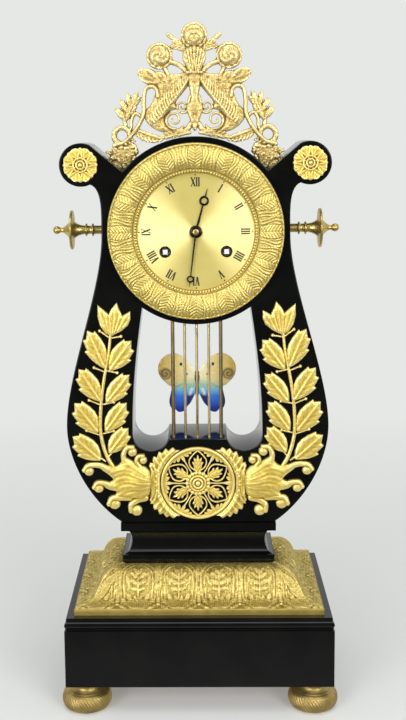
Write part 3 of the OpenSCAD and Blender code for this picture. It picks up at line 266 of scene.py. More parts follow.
class Relief:
    """Ornament laid as heights over a flat face, in millimetres."""

    def __init__(self, x, z, step=None):
        self.x, self.z, self.step = x, z, step
        self.out = np.full(x.shape, FAR)
        self.high = np.zeros(x.shape)

    @classmethod
    def sheet(cls, x0, z0, x1, z1, step):
        """An empty sheet with an even grid of places."""
        x, z = np.meshgrid(np.arange(x0, x1, step), np.arange(z0, z1, step), indexing="ij")
        return cls(x, z, step)

    @classmethod
    def mirrored(cls, half):
        """A whole sheet from its right half, which starts just left of the axis."""
        keep = half.x[:, 0] > half.step / 4

        def both(values, flip=1):
            return np.vstack([flip * values[keep][::-1], values[keep]])

        whole = cls(both(half.x, -1), both(half.z), half.step)
        whole.out, whole.high = both(half.out), both(half.high)
        return whole

    def lay(self, out, high):
        """Adds a shape: out is the distance outside its edge, high is its height."""
        self.high = np.where(out < 0, np.maximum(self.high, high), self.high)
        self.out = np.minimum(self.out, out)

    def strand(self, d, r, top, base):
        """A half-round strand of radius r, at distance d from its middle."""
        self.lay(d - r, base + top * np.sqrt(clamp(1 - (d / r) ** 2)))

    def stroke(self, points, r0, r1, top, base=CAST_BASE):
        """A strand along a smooth line, tapering from r0 to r1."""
        d, t = line_distance(self.x, self.z, along(points))
        self.strand(d, r0 + (r1 - r0) * t, top, base)

    def shape(self, points, top, edge, base=CAST_BASE, pattern=None, smooth=True):
        """A rounded mass inside a closed line, with a pattern of heights on it."""
        line = along(points, closed=True) if smooth else np.array(points, float)
        d, _ = line_distance(self.x, self.z, np.vstack([line, line[:1]]))
        out = np.where(inside_of(self.x, self.z, line), -d, d)
        high = base + top * dome(-out / edge)
        if pattern is not None:
            high = high + pattern * clamp(-out / (0.5 * edge))
        self.lay(out, high)

    def away(self, centre):
        """Distance of each place from a centre."""
        return np.hypot(self.x - centre[0], self.z - centre[1])

    def disc(self, centre, r, top, base=CAST_BASE, edge=1.0):
        """A domed button."""
        d = self.away(centre)
        self.lay(d - r, base + top * dome((1 - d / r) / edge))

    def ring(self, centre, r, half, top, base=CAST_BASE):
        """A half-round ring."""
        self.strand(np.abs(self.away(centre) - r), half, top, base)

    def rings(self, r, measures):
        """Half-round rings about the middle, with radius and half width as shares of r."""
        for at, half, top, base in measures:
            self.ring((0, 0), at * r, half * r, top, base)

    def volute(self, centre, r, turns, half, top, base):
        """A scroll that winds in to a small eye."""
        t = np.linspace(0, 1, 10 + int(16 * turns))
        a = np.radians(VOLUTE_START) + math.tau * turns * t
        radius = r * (1 - 0.8 * t)
        line = np.stack([centre[0] + radius * np.cos(a), centre[1] + radius * np.sin(a)], 1)
        d, t = line_distance(self.x, self.z, line)
        self.strand(d, half * (1 - 0.45 * t), top, base)

    def local(self, root, tip):
        """Direction and length of a line, with each place's share along it and distance to its left."""
        root, tip = np.array(root, float), np.array(tip, float)
        length = np.hypot(*(tip - root))
        ux, uz = (tip - root) / length
        u = ((self.x - root[0]) * ux + (self.z - root[1]) * uz) / length
        return ux, uz, length, u, (self.z - root[1]) * ux - (self.x - root[0]) * uz

    def leaf(self, root, tip, width, top, teeth=4, bend=0.0, base=CAST_BASE, notch=0.24, full=0.5):
        """A leaf with forward teeth, widest at the share full of its length, with midrib and veins."""
        _, _, length, u, v = self.local(root, tip)
        t = clamp(u)
        v = v - bend * length * 4 * t * (1 - t)
        climb = LEAF_FALL * full / (1 - full)
        swell = t ** climb * (1 - t) ** LEAF_FALL / (full ** climb * (1 - full) ** LEAF_FALL)
        tooth = (1 - (teeth * t) % 1.0) ** 1.4 * clamp(3 * t - 0.5)
        half = 0.5 * width * swell * (1 - notch * tooth)
        out = np.where((u > 0) & (u < 1), np.abs(v) - half, FAR)
        q = clamp(np.abs(v) / np.maximum(half, 0.05))
        veins = np.cos(math.tau * (1.5 * teeth * t - q)) * np.minimum(1, 3 * q * (1.15 - q))
        rib = np.exp(-(v / (0.05 * width + 0.12)) ** 2) * (1 - t)
        high = 0.5 * dome((1 - q) / 0.7) + 0.25 * rib + 0.18 * veins + 0.25 * q
        self.lay(out, base + top * high)

    def spray(self, root, tip, width, top, way=1, base=CAST_BASE):
        """A broad leaf cut to points, with its outer side on the left or, if way is -1, on the right."""
        ux, uz, length, u, v = self.local(root, tip)
        outline = []
        for far, side in SPRAY:
            outline.append((root[0] + length * far * ux - way * width * side * uz,
                            root[1] + length * far * uz + way * width * side * ux))
        v = v / width
        fan = v / (0.5 + clamp(u))
        veins = 0.05 * np.cos(math.tau * (5.5 * u - 4 * np.abs(v))) * clamp(8 * np.abs(fan))
        veins = veins + 0.09 * np.cos(math.tau * 3.5 * fan) + 0.28 * np.exp(-(v / 0.045) ** 2) - 0.1
        self.shape(outline, top, 2.2, base=base, pattern=veins, smooth=False)

    def chase(self, amount, seed):
        """Fine punch marks all over."""
        marks = blurred(np.random.default_rng(seed).normal(0, 1, self.x.shape), 1)
        self.high = self.high + amount * marks * (self.out < -0.5)

    def build(self, name, material, origin, body="case", mirror=False, turn=0.0, thick=0.0, both=False,
              paint=None):
        """One closed mesh: the heights in front, walls round the edge, and a flat or moulded back."""
        inside = self.out < 0
        grown = inside.copy()
        lifted = self.high.copy()
        for axis in (0, 1):
            for shift in (-1, 1):
                grown |= np.roll(grown, shift, axis)
                lifted = np.maximum(lifted, np.roll(lifted, shift, axis))
        near = grown & ~inside
        gx, gz = np.gradient(self.out, self.step)
        slope = np.maximum(gx ** 2 + gz ** 2, 0.3)
        move = np.where(near, np.clip(self.out, 0, self.step), 0)
        x = self.x - move * gx / slope
        z = self.z - move * gz / slope
        high = np.where(near, EDGE_SHARE * lifted, self.high)
        # Painted light and burnish: how far each height stands above its blurred surroundings, which the gilt
        # turns into painted shade in hollows, a painted highlight and smoother burnish on ridges
        tone = np.clip((high - blurred(high)) / PAINTED_LIGHT_HEIGHT, -1, 1)
        filled = np.all(corners(grown), axis=0) & np.any(corners(inside), axis=0)
        number = np.arange(x.size).reshape(x.shape)
        quads = np.stack(corners(number), -1)[filled]
        kept, quads = np.unique(quads, return_inverse=True)
        quads = quads.reshape(-1, 4)
        x, z, high, tone = (values.ravel()[kept] for values in (x, z, high, tone))
        n = len(kept)
        edges = np.vstack([quads[:, [i, (i + 1) % 4]] for i in range(4)])
        rim = edges[~np.isin(edges[:, 0] * n + edges[:, 1], edges[:, 1] * n + edges[:, 0])]
        walls = np.stack([rim[:, 1], rim[:, 0], rim[:, 0] + n, rim[:, 1] + n], 1)
        faces = np.vstack([quads, quads[:, ::-1] + n, walls])
        colours = {"tone": np.concatenate([tone, tone if both else 0 * tone])}
        if paint:
            colours["paint"] = np.vstack([paint(x, z)] * 2)
        a = math.radians(turn)
        flip = -1 if mirror else 1
        px = flip * (x * math.cos(a) + z * math.sin(a))
        pz = z * math.cos(a) - x * math.sin(a)
        front = np.stack([origin[0] + px, origin[1] - thick / 2 - high, origin[2] + pz], 1)
        rear = np.stack([front[:, 0], origin[1] + thick / 2 + (high if both else 0 * high), front[:, 2]], 1)
        points = np.vstack([front, rear])
        return add_mesh(name, points, outward(points, faces), material, body, sharp=62, **colours)


# Materials

class Nodes:
    """A node tree, with short calls for the nodes that the finishes and the world share."""

    def __init__(self, tree):
        self.tree = tree

    def join(self, node, inputs):
        """Gives sockets their values, or joins them to other nodes' sockets."""
        for socket, value in inputs.items():
            if isinstance(value, bpy.types.NodeSocket):
                self.tree.links.new(value, node.inputs[socket])
            else:
                node.inputs[socket].default_value = value

    def node(self, kind, inputs=None, **settings):
        """A node with its properties set and its inputs given."""
        node = self.tree.nodes.new(kind)
        for key, value in settings.items():
            setattr(node, key, value)
        self.join(node, inputs or {})
        return node

    def span(self, factor, low, high, start=0.0, end=1.0):
        """A factor moved to another range."""
        inputs = {"Value": factor, "From Min": start, "From Max": end, "To Min": low, "To Max": high}
        return self.node("ShaderNodeMapRange", inputs).outputs["Result"]


class Finish(Nodes):
    """A material's nodes."""

    def __init__(self, name, **sockets):
        self.material = bpy.data.materials.new(name)
        self.material.use_nodes = True
        super().__init__(self.material.node_tree)
        self.shader = self.tree.nodes["Principled BSDF"]
        self.set(**sockets)

    def set(self, **sockets):
        """Gives the shader's sockets their values, or joins them."""
        self.join(self.shader, {socket.replace("_", " "): value for socket, value in sockets.items()})

    def place(self, stretch=(1, 1, 1), shift=(0, 0, 0)):
        """The piece's own coordinates, stretched and shifted."""
        own = self.node("ShaderNodeTexCoord").outputs["Object"]
        inputs = {"Vector": own, "Scale": stretch, "Location": shift}
        return self.node("ShaderNodeMapping", inputs).outputs["Vector"]

    def noise(self, scale, detail=4.0, stretch=(1, 1, 1)):
        """Cloudy variation, scale in features per metre."""
        inputs = {"Scale": scale, "Detail": detail, "Vector": self.place(stretch)}
        return self.node("ShaderNodeTexNoise", inputs).outputs["Fac"]

    def ramp(self, factor, *stops):
        """Colours over a factor, as (place, colour) stops."""
        node = self.node("ShaderNodeValToRGB", {"Fac": factor})
        elements = node.color_ramp.elements
        while len(elements) < len(stops):
            elements.new(0.5)
        for element, (at, colour) in zip(elements, stops):
            element.position = at
            element.color = (*colour, 1)
        return node.outputs["Color"]

    def cloud(self, scale, detail, dark, light):
        """A cloudy change from one colour to another."""
        return self.ramp(self.noise(scale, detail), (0.3, dark), (0.7, light))

    def tinted(self, colour, tint):
        """One colour multiplied by another."""
        inputs = {"Factor": 1.0, "A": colour, "B": tint}
        return self.node("ShaderNodeMix", inputs, data_type="RGBA", blend_type="MULTIPLY").outputs["Result"]

    def bump(self, height, strength, distance=0.0002):
        """Fine surface relief."""
        inputs = {"Strength": strength, "Distance": distance, "Height": height}
        self.set(Normal=self.node("ShaderNodeBump", inputs).outputs["Normal"])

    def value(self, name, output="Fac"):
        """A per-point value of the mesh."""
        return self.node("ShaderNodeAttribute", attribute_name=name).outputs[output]


def gilt(name, painted_shade, middle, light, rough, grain=0.12, metal=0.85):
    """Fire gilding with a fine matted grain, burnished smoother on the ridges; its colour has painted shade
    in the hollows and a painted highlight on the ridges.
    """
    finish = Finish(name, Metallic=metal)
    # Painted light: the colour darkens in hollows as painted shade and lightens on ridges as a painted
    # highlight; the lower roughness on ridges is real burnish
    tone = finish.span(finish.value("tone"), 0, 1, -1, 1)
    body = finish.ramp(tone, (0.12, painted_shade), (0.5, middle), (0.85, light))
    cloud = finish.cloud(90, 4, (0.88, 0.86, 0.78), (1, 1, 1))
    finish.set(Base_Color=finish.tinted(body, cloud), Roughness=finish.span(tone, rough + 0.14, rough - 0.1))
    finish.bump(finish.noise(2400, 2), grain)
    return finish.material


def worn_metal(name, dark, light, rough, grain=(1, 1, 1), metal=1.0):
    """A metal with cloudy tarnish and a drawn or turned grain."""
    finish = Finish(name, Metallic=metal)
    streak = finish.noise(700, 3, grain)
    finish.set(Base_Color=finish.ramp(finish.noise(120, 6), (0.32, dark), (0.68, light)),
               Roughness=finish.span(streak, rough - 0.08, rough + 0.1, 0.3, 0.7))
    finish.bump(streak, 0.08)
    return finish.material


def spun_brass(name):
    """Lacquered sheet brass with fine turning marks round the dial's axis."""
    finish = Finish(name, Metallic=1.0)
    inputs = {"Scale": 260.0, "Distortion": 1.5, "Vector": finish.place(shift=(0, 0, -HEAD_Z * MM))}
    marks = finish.node("ShaderNodeTexWave", inputs, wave_type="RINGS", rings_direction="Y")
    finish.set(Base_Color=finish.cloud(25, 5, (0.56, 0.41, 0.15), (0.68, 0.52, 0.21)),
               Roughness=finish.span(finish.noise(70, 6), 0.22, 0.36, 0.3, 0.7))
    finish.bump(marks.outputs["Fac"], 0.12)
    return finish.material


def ebonised(name):
    """Black French polish over fine grain, with faint dust and rubbing."""
    finish = Finish(name, IOR=1.32, Coat_Weight=0.15, Coat_Roughness=0.05)
    finish.set(Base_Color=finish.cloud(30, 5, (0.0015, 0.0018, 0.0015), (0.004, 0.0045, 0.0038)),
               Roughness=finish.span(finish.noise(60, 6), 0.08, 0.16, 0.3, 0.7))
    finish.bump(finish.noise(500, 3, (1, 1, 0.06)), 0.03, 0.0003)
    return finish.material


def bare_wood(name):
    """Plain brown carcass wood with long grain."""
    finish = Finish(name)
    grain = finish.noise(160, 6, (0.08, 1, 1))
    finish.set(Base_Color=finish.ramp(grain, (0.3, (0.13, 0.07, 0.035)), (0.7, (0.3, 0.18, 0.09))),
               Roughness=finish.span(grain, 0.6, 0.8))
    finish.bump(grain, 0.2, 0.0004)
    return finish.material


def brushed_dial(name):
    """Gilt dial turned in fine circles, so that it lights up in broad wedges."""
    finish = Finish(name, Metallic=0.45, IOR=4.2, Anisotropic=0.9, Anisotropic_Rotation=0.25, Roughness=0.44)
    tangent = finish.node("ShaderNodeTangent", direction_type="RADIAL", axis="Y")
    finish.set(Base_Color=finish.cloud(60, 5, (0.88, 0.7, 0.12), (0.95, 0.79, 0.18)),
               Tangent=tangent.outputs["Tangent"])
    finish.bump(finish.noise(1500, 2), 0.04, 0.0001)
    return finish.material


def painted_enamel(name):
    """Glassy enamel over the colours painted on the mesh."""
    finish = Finish(name, Coat_Weight=0.8, Coat_Roughness=0.04, Roughness=0.3)
    cloud = finish.cloud(500, 5, (0.84, 0.84, 0.84), (1, 1, 1))
    finish.set(Base_Color=finish.tinted(finish.value("paint", "Color"), cloud))
    finish.bump(finish.noise(300, 3), 0.05, 0.0003)
    return finish.material


def black_ink(name):
    """Black filled numerals, slightly worn."""
    finish = Finish(name)
    cloud = finish.noise(900, 4)
    finish.set(Base_Color=finish.ramp(cloud, (0.35, (0.014, 0.011, 0.006)), (0.75, (0.045, 0.034, 0.017))),
               Roughness=finish.span(cloud, 0.35, 0.6))
    return finish.material


# Gilt finishes: colour of the painted shade in the hollows, middle colour, colour of the painted highlight on
# the ridges, roughness, grain and metal share
GILT = gilt("gilt mounts", (0.25, 0.155, 0.016), (0.77, 0.57, 0.11), (0.97, 0.82, 0.34), 0.46, 0.12, 0.66)
CREST_GILT = gilt("gilt crest", (0.25, 0.165, 0.04), (0.66, 0.49, 0.17), (0.93, 0.78, 0.4), 0.46, 0.25, 0.7)
BEZEL_GILT = gilt("gilt bezel", (0.38, 0.28, 0.06), (0.69, 0.54, 0.14), (0.9, 0.77, 0.34), 0.46)
CUSHION_GILT = gilt("gilt cushion", (0.23, 0.165, 0.035), (0.56, 0.43, 0.12), (0.84, 0.69, 0.28), 0.44, 0.3)
DIAL = brushed_dial("brushed dial")
ANTIQUE = worn_metal("antique brass", (0.44, 0.33, 0.09), (0.7, 0.55, 0.19), 0.34, metal=0.9)
FOOT_BRASS = worn_metal("foot brass", (0.3, 0.21, 0.07), (0.5, 0.37, 0.13), 0.46, metal=0.9)
BRASS = worn_metal("clock brass", (0.56, 0.42, 0.15), (0.67, 0.51, 0.2), 0.3, (1, 0.1, 1))
SPUN = spun_brass("spun brass")
HEAVY_STRING = worn_metal("heavy string", (0.27, 0.2, 0.09), (0.36, 0.28, 0.13), 0.35)
STRING_BRASS = worn_metal("string brass", (0.66, 0.53, 0.24), (0.82, 0.68, 0.36), 0.3, (1, 1, 0.05))
BELL = worn_metal("bell metal", (0.4, 0.3, 0.17), (0.62, 0.5, 0.32), 0.25, (1, 0.2, 1))
STEEL = worn_metal("bright steel", (0.42, 0.42, 0.42), (0.72, 0.72, 0.7), 0.24, (1, 1, 0.1))
# Painted highlight: the winding arbors take a pale, half-metallic copy of steel so that their square ends
# show bright inside the dim winding holes
LIT_ARBOR_STEEL = worn_metal("arbor steel with painted highlight", (0.7, 0.7, 0.7), (0.9, 0.9, 0.88), 0.4, metal=0.4)
BLUED = worn_metal("blued steel", (0.014, 0.011, 0.009), (0.035, 0.028, 0.022), 0.28)
EBONY = ebonised("ebonised wood")
WOOD = bare_wood("carcass wood")
ENAMEL = painted_enamel("enamel")
BODY_ENAMEL = worn_metal("body enamel", (0.09, 0.08, 0.03), (0.2, 0.17, 0.07), 0.35)
INK = black_ink("numeral black")


def stand_in(piece, slot, *nodes):
    """Hides the CAD nodes that a piece stands for; the piece and the finish slot given are not used."""
    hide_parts(*nodes)


# Lyre body: one outline with the string opening and the bore for the clock case
HEAD_R = 72.5
CASE_BORE = 61.7
LYRE_FOOT_W = 60.3
BELLY = (103.1, 78.0)
WAIST_W = 72.7
SCROLL = (87.65, HEAD_Z - LYRE_Z + 51.7)
SCROLL_R = 16.6
CORNER_R = 14.3
OPENING_W = 51.2
BRIDGE_Z = 68.3
LYRE_EDGE = 0.7
# Waist below the dial's centre, and pulls of the curves at the foot, the belly, the waist and the opening
WAIST_DROP = 2
FOOT_PULL = (25, 17)
UNDER_PULL, ARM_PULL, WAIST_PULL = 28, 42, 16
OPENING_PULLS = (31, 61)
OPENING_TAPER = 0.94
# Degrees at which arcs start and end, and distance and degrees of the point where the arm aims at its scroll
SCROLL_ARC, HEAD_ARC, OPENING_ARC, CORNER_ARC = (245, 475), (39.4, 89), (-54.3, -89), (-161.3, 0)
SCROLL_AIM = (8, 228)
# Middle of the opening's corner over the bridge in its radii, and the arm's top in radii of the head
CORNER_UP = 0.32
OPENING_TOP = np.array([0.583, -0.812])


def mirrored_loop(right):
    """A closed loop from its right half, drawn from the foot up to the axis."""
    left = right[::-1] * np.array([-1, 1])
    return np.vstack([right, left])


def lyre_loops():
    """Outer edge, string opening and bore, from the lyre's foot."""
    head = np.array([0.0, HEAD_Z - LYRE_Z])
    waist_z = head[1] - WAIST_DROP
    meets = arc(SCROLL, SCROLL_R, *SCROLL_ARC, 44)
    aim, degrees = SCROLL_AIM
    before = arc(SCROLL, SCROLL_R + aim, degrees, degrees, 1)[0]
    under, over = (BELLY[0], BELLY[1] - UNDER_PULL), (BELLY[0], BELLY[1] + ARM_PULL)
    outer = np.vstack([
        bezier((LYRE_FOOT_W, 0), (LYRE_FOOT_W + FOOT_PULL[0], FOOT_PULL[1]), under, BELLY, 28),
        bezier(BELLY, over, (WAIST_W, waist_z - ARM_PULL), (WAIST_W, waist_z), 40),
        bezier((WAIST_W, waist_z), (WAIST_W, waist_z + WAIST_PULL), before, meets[0], 14),
        meets,
        arc(head, HEAD_R, *HEAD_ARC, 26),
    ])
    corner = np.array([OPENING_W - CORNER_R, BRIDGE_Z + CORNER_UP * CORNER_R])
    low, high = (corner[1] + pull for pull in OPENING_PULLS)
    arm_top = head + HEAD_R * OPENING_TOP
    opening = np.vstack([
        arc(corner, CORNER_R, *CORNER_ARC, 30)[:-1],
        bezier((OPENING_W, corner[1]), (OPENING_W, low), (OPENING_TAPER * OPENING_W, high), arm_top, 30),
        arc(head, HEAD_R, *OPENING_ARC, 16),
    ])
    bore = arc(head, CASE_BORE, 0, 358, 180)
    return mirrored_loop(outer), mirrored_loop(opening), bore


def lyre():
    """The ebonised lyre, its edges softly rounded."""
    half = (LYRE_HIGH[1] - LYRE_LOW[1]) / 2
    outline = bpy.data.curves.new("lyre outline", "CURVE")
    outline.dimensions = "2D"
    outline.fill_mode = "BOTH"
    outline.extrude = (half - LYRE_EDGE) * MM
    outline.bevel_depth = LYRE_EDGE * MM
    outline.bevel_resolution = 3
    outline.offset = -LYRE_EDGE * MM
    for loop in lyre_loops():
        spline = outline.splines.new("POLY")
        spline.points.add(len(loop) - 1)
        for point, (x, z) in zip(spline.points, loop):
            point.co = (x * MM, z * MM, 0, 1)
        spline.use_cyclic_u = True
    draft = in_scene("lyre draft", outline)
    graph = bpy.context.evaluated_depsgraph_get()
    mesh = bpy.data.meshes.new_from_object(draft.evaluated_get(graph))
    x, z, y = np.array([vertex.co for vertex in mesh.vertices]).T / MM
    faces = [tuple(polygon.vertices) for polygon in mesh.polygons]
    bpy.data.objects.remove(draft)
    piece = add_mesh("lyre", np.stack([x, -y, z + LYRE_Z], 1), faces, EBONY, sharp=25)
    stand_in(piece, "ebonised_wood", "lyre_frame")


# Laurel branch, acanthus cup and crescent, drawn for the right arm from the lyre's foot
STEM = [(62, 41), (68, 48), (72, 56), (75, 66), (76.5, 78.5), (75.5, 98), (73, 116.5), (69, 137), (67, 154.2)]
LAUREL = [
    ((76.5, 52), (98.5, 71.5), 17.5), ((78, 74.5), (96.5, 98.5), 17.5), ((76, 99.5), (92.5, 125.6), 16.5),
    ((72, 126), (85, 156.2), 16), ((70, 57.5), (54.5, 78), 15), ((72.5, 75), (55.5, 98.5), 15.5),
    ((71.5, 98), (53, 121), 15.5), ((68.5, 124.2), (51, 148), 16.5),
]
CROWN = [
    (66.8, 151.2), (71.6, 154.2), (75.2, 159.7), (77, 166.8), (76.8, 176.1), (72.2, 172.3), (68.3, 169),
    (65.8, 173.3), (61.8, 177.9), (59.6, 171.8), (57.5, 167.7), (54.8, 169.2), (51.3, 171), (51.2, 164.7),
    (53.3, 159.7), (58.8, 155.2), (63.8, 152.7),
]
BUDS = [
    ((77.5, 72.5), (87.5, 76)), ((74, 73.5), (66, 75.5)), ((75.5, 96.5), (85, 100.5)),
    ((74, 97), (65.5, 98.8)), ((72, 123), (80.5, 126.5)), ((70.5, 124), (62.5, 122.3)),
    ((68.5, 150.5), (75.5, 155.7)), ((66.5, 150), (59, 151.2)), ((73, 51), (79, 55.5)),
    ((70, 55), (66, 60.5)),
]
# Balls that end the cup's curls, with the strand that leads to each
CURLS = [
    ((51.7, 58.6), 3.5, [(58, 50), (58.6, 56.5), (56, 61.6), (51.3, 62.3)]),
    ((43.3, 51.8), 3.1, [(45.5, 46), (48.3, 50.5), (47.2, 54.6), (43.2, 55.2)]),
    ((86.2, 43.2), 3.7, [(70, 44), (78, 47.8), (86.5, 47.6), (90, 43.8)]),
    ((78.6, 29.2), 3.7, [(64, 29), (73, 32.6), (79.6, 33.2), (82.4, 29.6)]),
    ((66.2, 16.2), 4.3, [(54, 21.5), (61.5, 21.3), (68.3, 20.4), (70.7, 16)]),
    ((48.9, 10.6), 4.3, [(42.2, 21), (48, 19.4), (53, 15.5), (53.3, 10.2)]),
]
# Edge of the cup with its four leaf points, and the place that its ribs fan out from
CUP = [
    (36.2, 30), (35.8, 35), (37, 41), (41, 46), (46.5, 48.8), (52.5, 51.8), (60, 56), (60.5, 51),
    (64.5, 47.2), (71, 47.8), (80, 48.2), (76, 44), (69.5, 39), (67.5, 36), (71, 34), (77, 32.8),
    (71.5, 28.2), (65, 26.2), (66, 22), (58.5, 20.2), (52, 19.6), (45.5, 19.4), (41, 21), (37.8, 25),
]
RIBS_FROM = (25.0, 34.0)
# Bowed bands behind the cup, each as how far back it stands and its radius
BOW = [(39.4, 47), (36.9, 40), (36.2, 33), (36.9, 26), (39.4, 19)]
BOWS = [(4.6, 1.3), (1.8, 1.0)]


def cup(relief):
    """Acanthus cup: a round body with flowing ribs that run out to leaf points and curls."""
    x, z = relief.x - RIBS_FROM[0], relief.z - RIBS_FROM[1]
    out, turn = np.hypot(x, z), np.arctan2(z, x)
    flow = turn + 0.1 * np.sin(out / 7)
    swell = 2.2 * np.exp(-((out - 22) / 9) ** 2 - (turn / 0.5) ** 2)
    ribs = swell + 0.07 * np.cos(30 * flow) + 0.07 * np.cos(58 * flow + out / 3)
    relief.shape(CUP, 2.4, 5.5, base=1.3, pattern=ribs)
    for centre, r, strand in CURLS:
        relief.stroke(strand, 0.7 * r, 0.5 * r, 2.0, base=1.5)
        relief.disc(centre, 1.05 * r, 2.4, base=1.2)
    for back, r in BOWS:
        relief.stroke([(x - back, z) for x, z in BOW], r, r, 1.7)


# Reach of the crescent past the medallion over the angle from its clasp, and the pitch and depth of its teeth
CRESCENT = [(0, 8.2), (10, 9), (18, 11.5), (28, 12.2), (40, 10.4), (50, 7.6), (57, 5), (63, 0.6)]
TOOTH_PITCH = 8.0
TOOTH_DEPTH = 2.4
TOOTH_STEP = 0.15
# Degrees from the clasp at which the teeth start, and over which they grow
TEETH_FROM = 8
TEETH_GROW = 6


def crescent(relief):
    """Toothed acanthus arms that frame the medallion, with a banded clasp between them."""
    centre = MEDALLION_Z - LYRE_Z
    d = np.hypot(relief.x, relief.z - centre)
    a = np.abs(np.degrees(np.arctan2(relief.z - centre, relief.x)))
    tooth = (a / TOOTH_PITCH) % 1.0
    cut = np.minimum(tooth / TOOTH_STEP, (clamp(1 - tooth) / (1 - TOOTH_STEP)) ** 1.2)
    reach = np.interp(a, *zip(*CRESCENT)) - TOOTH_DEPTH * cut * clamp((a - TEETH_FROM) / TEETH_GROW)
    out = np.maximum(d - MEDALLION_R - reach, MEDALLION_R + 0.5 - d)
    out = np.where((a < CRESCENT[-1][0]) & (relief.z > 1.2), out, FAR)
    share = clamp((d - MEDALLION_R) / 11)
    flow = tooth - 0.9 * share
    vein = 0.2 * np.cos(math.tau * flow) + 0.1 * np.cos(4 * math.pi * flow)
    rib = 0.7 * np.exp(-((share - 0.3) / 0.1) ** 2)
    relief.lay(out, CAST_BASE + 1.0 * dome(-out / 2.6) + rib + vein * clamp(-out))
    cuff = np.abs(relief.x - MEDALLION_R - 4)
    tall = np.abs(relief.z - centre) - 8 - 0.5 * (relief.x - MEDALLION_R)
    relief.lay(np.maximum(tall, cuff - 3.4), CAST_BASE + 1.4 + 0.06 * cuff ** 2)


def branches():
    """Both laurel branches with their cups."""
    relief = Relief.sheet(14, 0.8, 103, 180, RELIEF_STEP)
    crescent(relief)
    cup(relief)
    relief.stroke(STEM, 1.6, 1.1, 1.3)
    for root, tip in BUDS:
        relief.stroke([root, tip], 0.6, 0.7, 0.9)
        relief.disc(tip, 1.25, 1.4)
    for root, tip, width in LAUREL:
        relief.spray(root, tip, width, 1.5, way=-1 if tip[0] > root[0] else 1)
    spread = np.arctan2(relief.x - CROWN[0][0], relief.z - CROWN[0][1] + 6)
    relief.shape(CROWN, 1.5, 2.6, smooth=False, pattern=0.16 * np.cos(12 * math.pi * spread))
    relief.chase(0.2, 5)
    for side in ("left", "right"):
        piece = relief.build(f"laurel_{side}", GILT, (0, FRONT_Y, LYRE_Z), mirror=side == "left")
        stand_in(piece, "gilt_mount", f"branch_{side}")


# Half of a medallion petal and the lobes of its leaf, as shares of the radius
PETAL = [(0.34, 0.04), (0.45, 0.19), (0.62, 0.23), (0.78, 0.13), (0.9, 0)]
LOBES = ((0.42, 0.1), (0.52, 0.14), (0.62, 0.1))
# Rings of the medallion and of the rosettes: radius and half width as shares, roundness and starting height
MEDALLION_RINGS = [(0.955, 0.042, 1.3, CAST_BASE), (0.905, 0.02, 0.7, CAST_BASE), (0.2, 0.035, 0.9, 1.6),
                   (0.12, 0.035, 1.2, 1.9)]
ROSETTE_RINGS = [(0.4, 0.06, 0.9, 2.4), (0.22, 0.05, 0.8, 2.9)]
BOSS_BEADS = 18


def medallion():
    """Pierced roundel: rim, six ogive petals with a lobed leaf in each, leaves between and a ringed boss."""
    r = MEDALLION_R
    relief = Relief.sheet(-r - 1, -r - 1, r + 1, r + 1, 0.3)
    relief.rings(r, MEDALLION_RINGS)
    for i in range(6):
        a = math.radians(30 + 60 * i)

        def at(u, v, turn=0.0):
            """A place out along this petal and across it, as shares of the radius."""
            c, s = math.cos(a + turn), math.sin(a + turn)
            return (r * (u * c - v * s), r * (u * s + v * c))

        between = math.radians(30)
        for s in (-1, 1):
            relief.stroke([at(u, v * s) for u, v in PETAL], 0.55, 0.55, 1.0)
            relief.leaf(at(0.93, 0.04 * s, between), at(0.77, 0.17 * s, between), 0.12 * r, 1.0, teeth=2)
            relief.leaf(at(0.93, 0.16 * s, between), at(0.8, 0.27 * s, between), 0.1 * r, 1.0, teeth=2)
            for place, reach in LOBES:
                root, tip = at(place - 0.08, 0), at(place + 0.06, reach * s)
                relief.leaf(root, tip, 0.085 * r, 0.9, teeth=1, notch=0)
        relief.leaf(at(0.26, 0), at(0.77, 0), 0.12 * r, 1.3, teeth=3, full=0.35)
        relief.leaf(at(0.93, 0, between), at(0.66, 0, between), 0.1 * r, 1.2, teeth=3, full=0.35)
        relief.stroke([at(0.3, 0, between), at(0.7, 0, between)], 0.55, 0.55, 0.9)
    relief.disc((0, 0), 0.33 * r, 0.9, edge=0.4)
    for i in range(BOSS_BEADS):
        relief.disc(polar(0.285 * r, 360 / BOSS_BEADS * i), 0.052 * r, 0.9, base=1.5)
    relief.disc((0, 0), 0.07 * r, 1.2, base=2.2)
    piece = relief.build("roundel", GILT, (0, FRONT_Y, MEDALLION_Z))
    stand_in(piece, "gilt_mount", "medallion")


def rosettes():
    """Rosettes on the scrolls: eight bold petals, beads between their ends and a ringed boss."""
    for side in ("left", "right"):
        middle, half = middle_mm(f"rosette_{side}")
        r = half[0]
        relief = Relief.sheet(-r - 1, -r - 1, r + 1, r + 1, 0.25)
        relief.disc((0, 0), 0.93 * r, 0.7, base=1.7, edge=0.15)
        for i in range(8):
            turn = 45 * i + 22.5
            root, tip = polar(0.25 * r, turn), polar(r, turn)
            relief.leaf(root, tip, 0.62 * r, 1.3, teeth=1, notch=0, full=0.66, base=2.0)
            relief.disc(polar(0.84 * r, 45 * i), 0.15 * r, 1.1, base=1.7)
        relief.rings(r, ROSETTE_RINGS)
        relief.disc((0, 0), 0.34 * r, 1.2, base=1.9, edge=0.5)
        relief.disc((0, 0), 0.12 * r, 1.2, base=3.0)
        piece = relief.build(f"scroll_rosette_{side}", GILT, (middle[0], FRONT_Y, middle[2]))
        stand_in(piece, "gilt_mount", f"rosette_{side}")


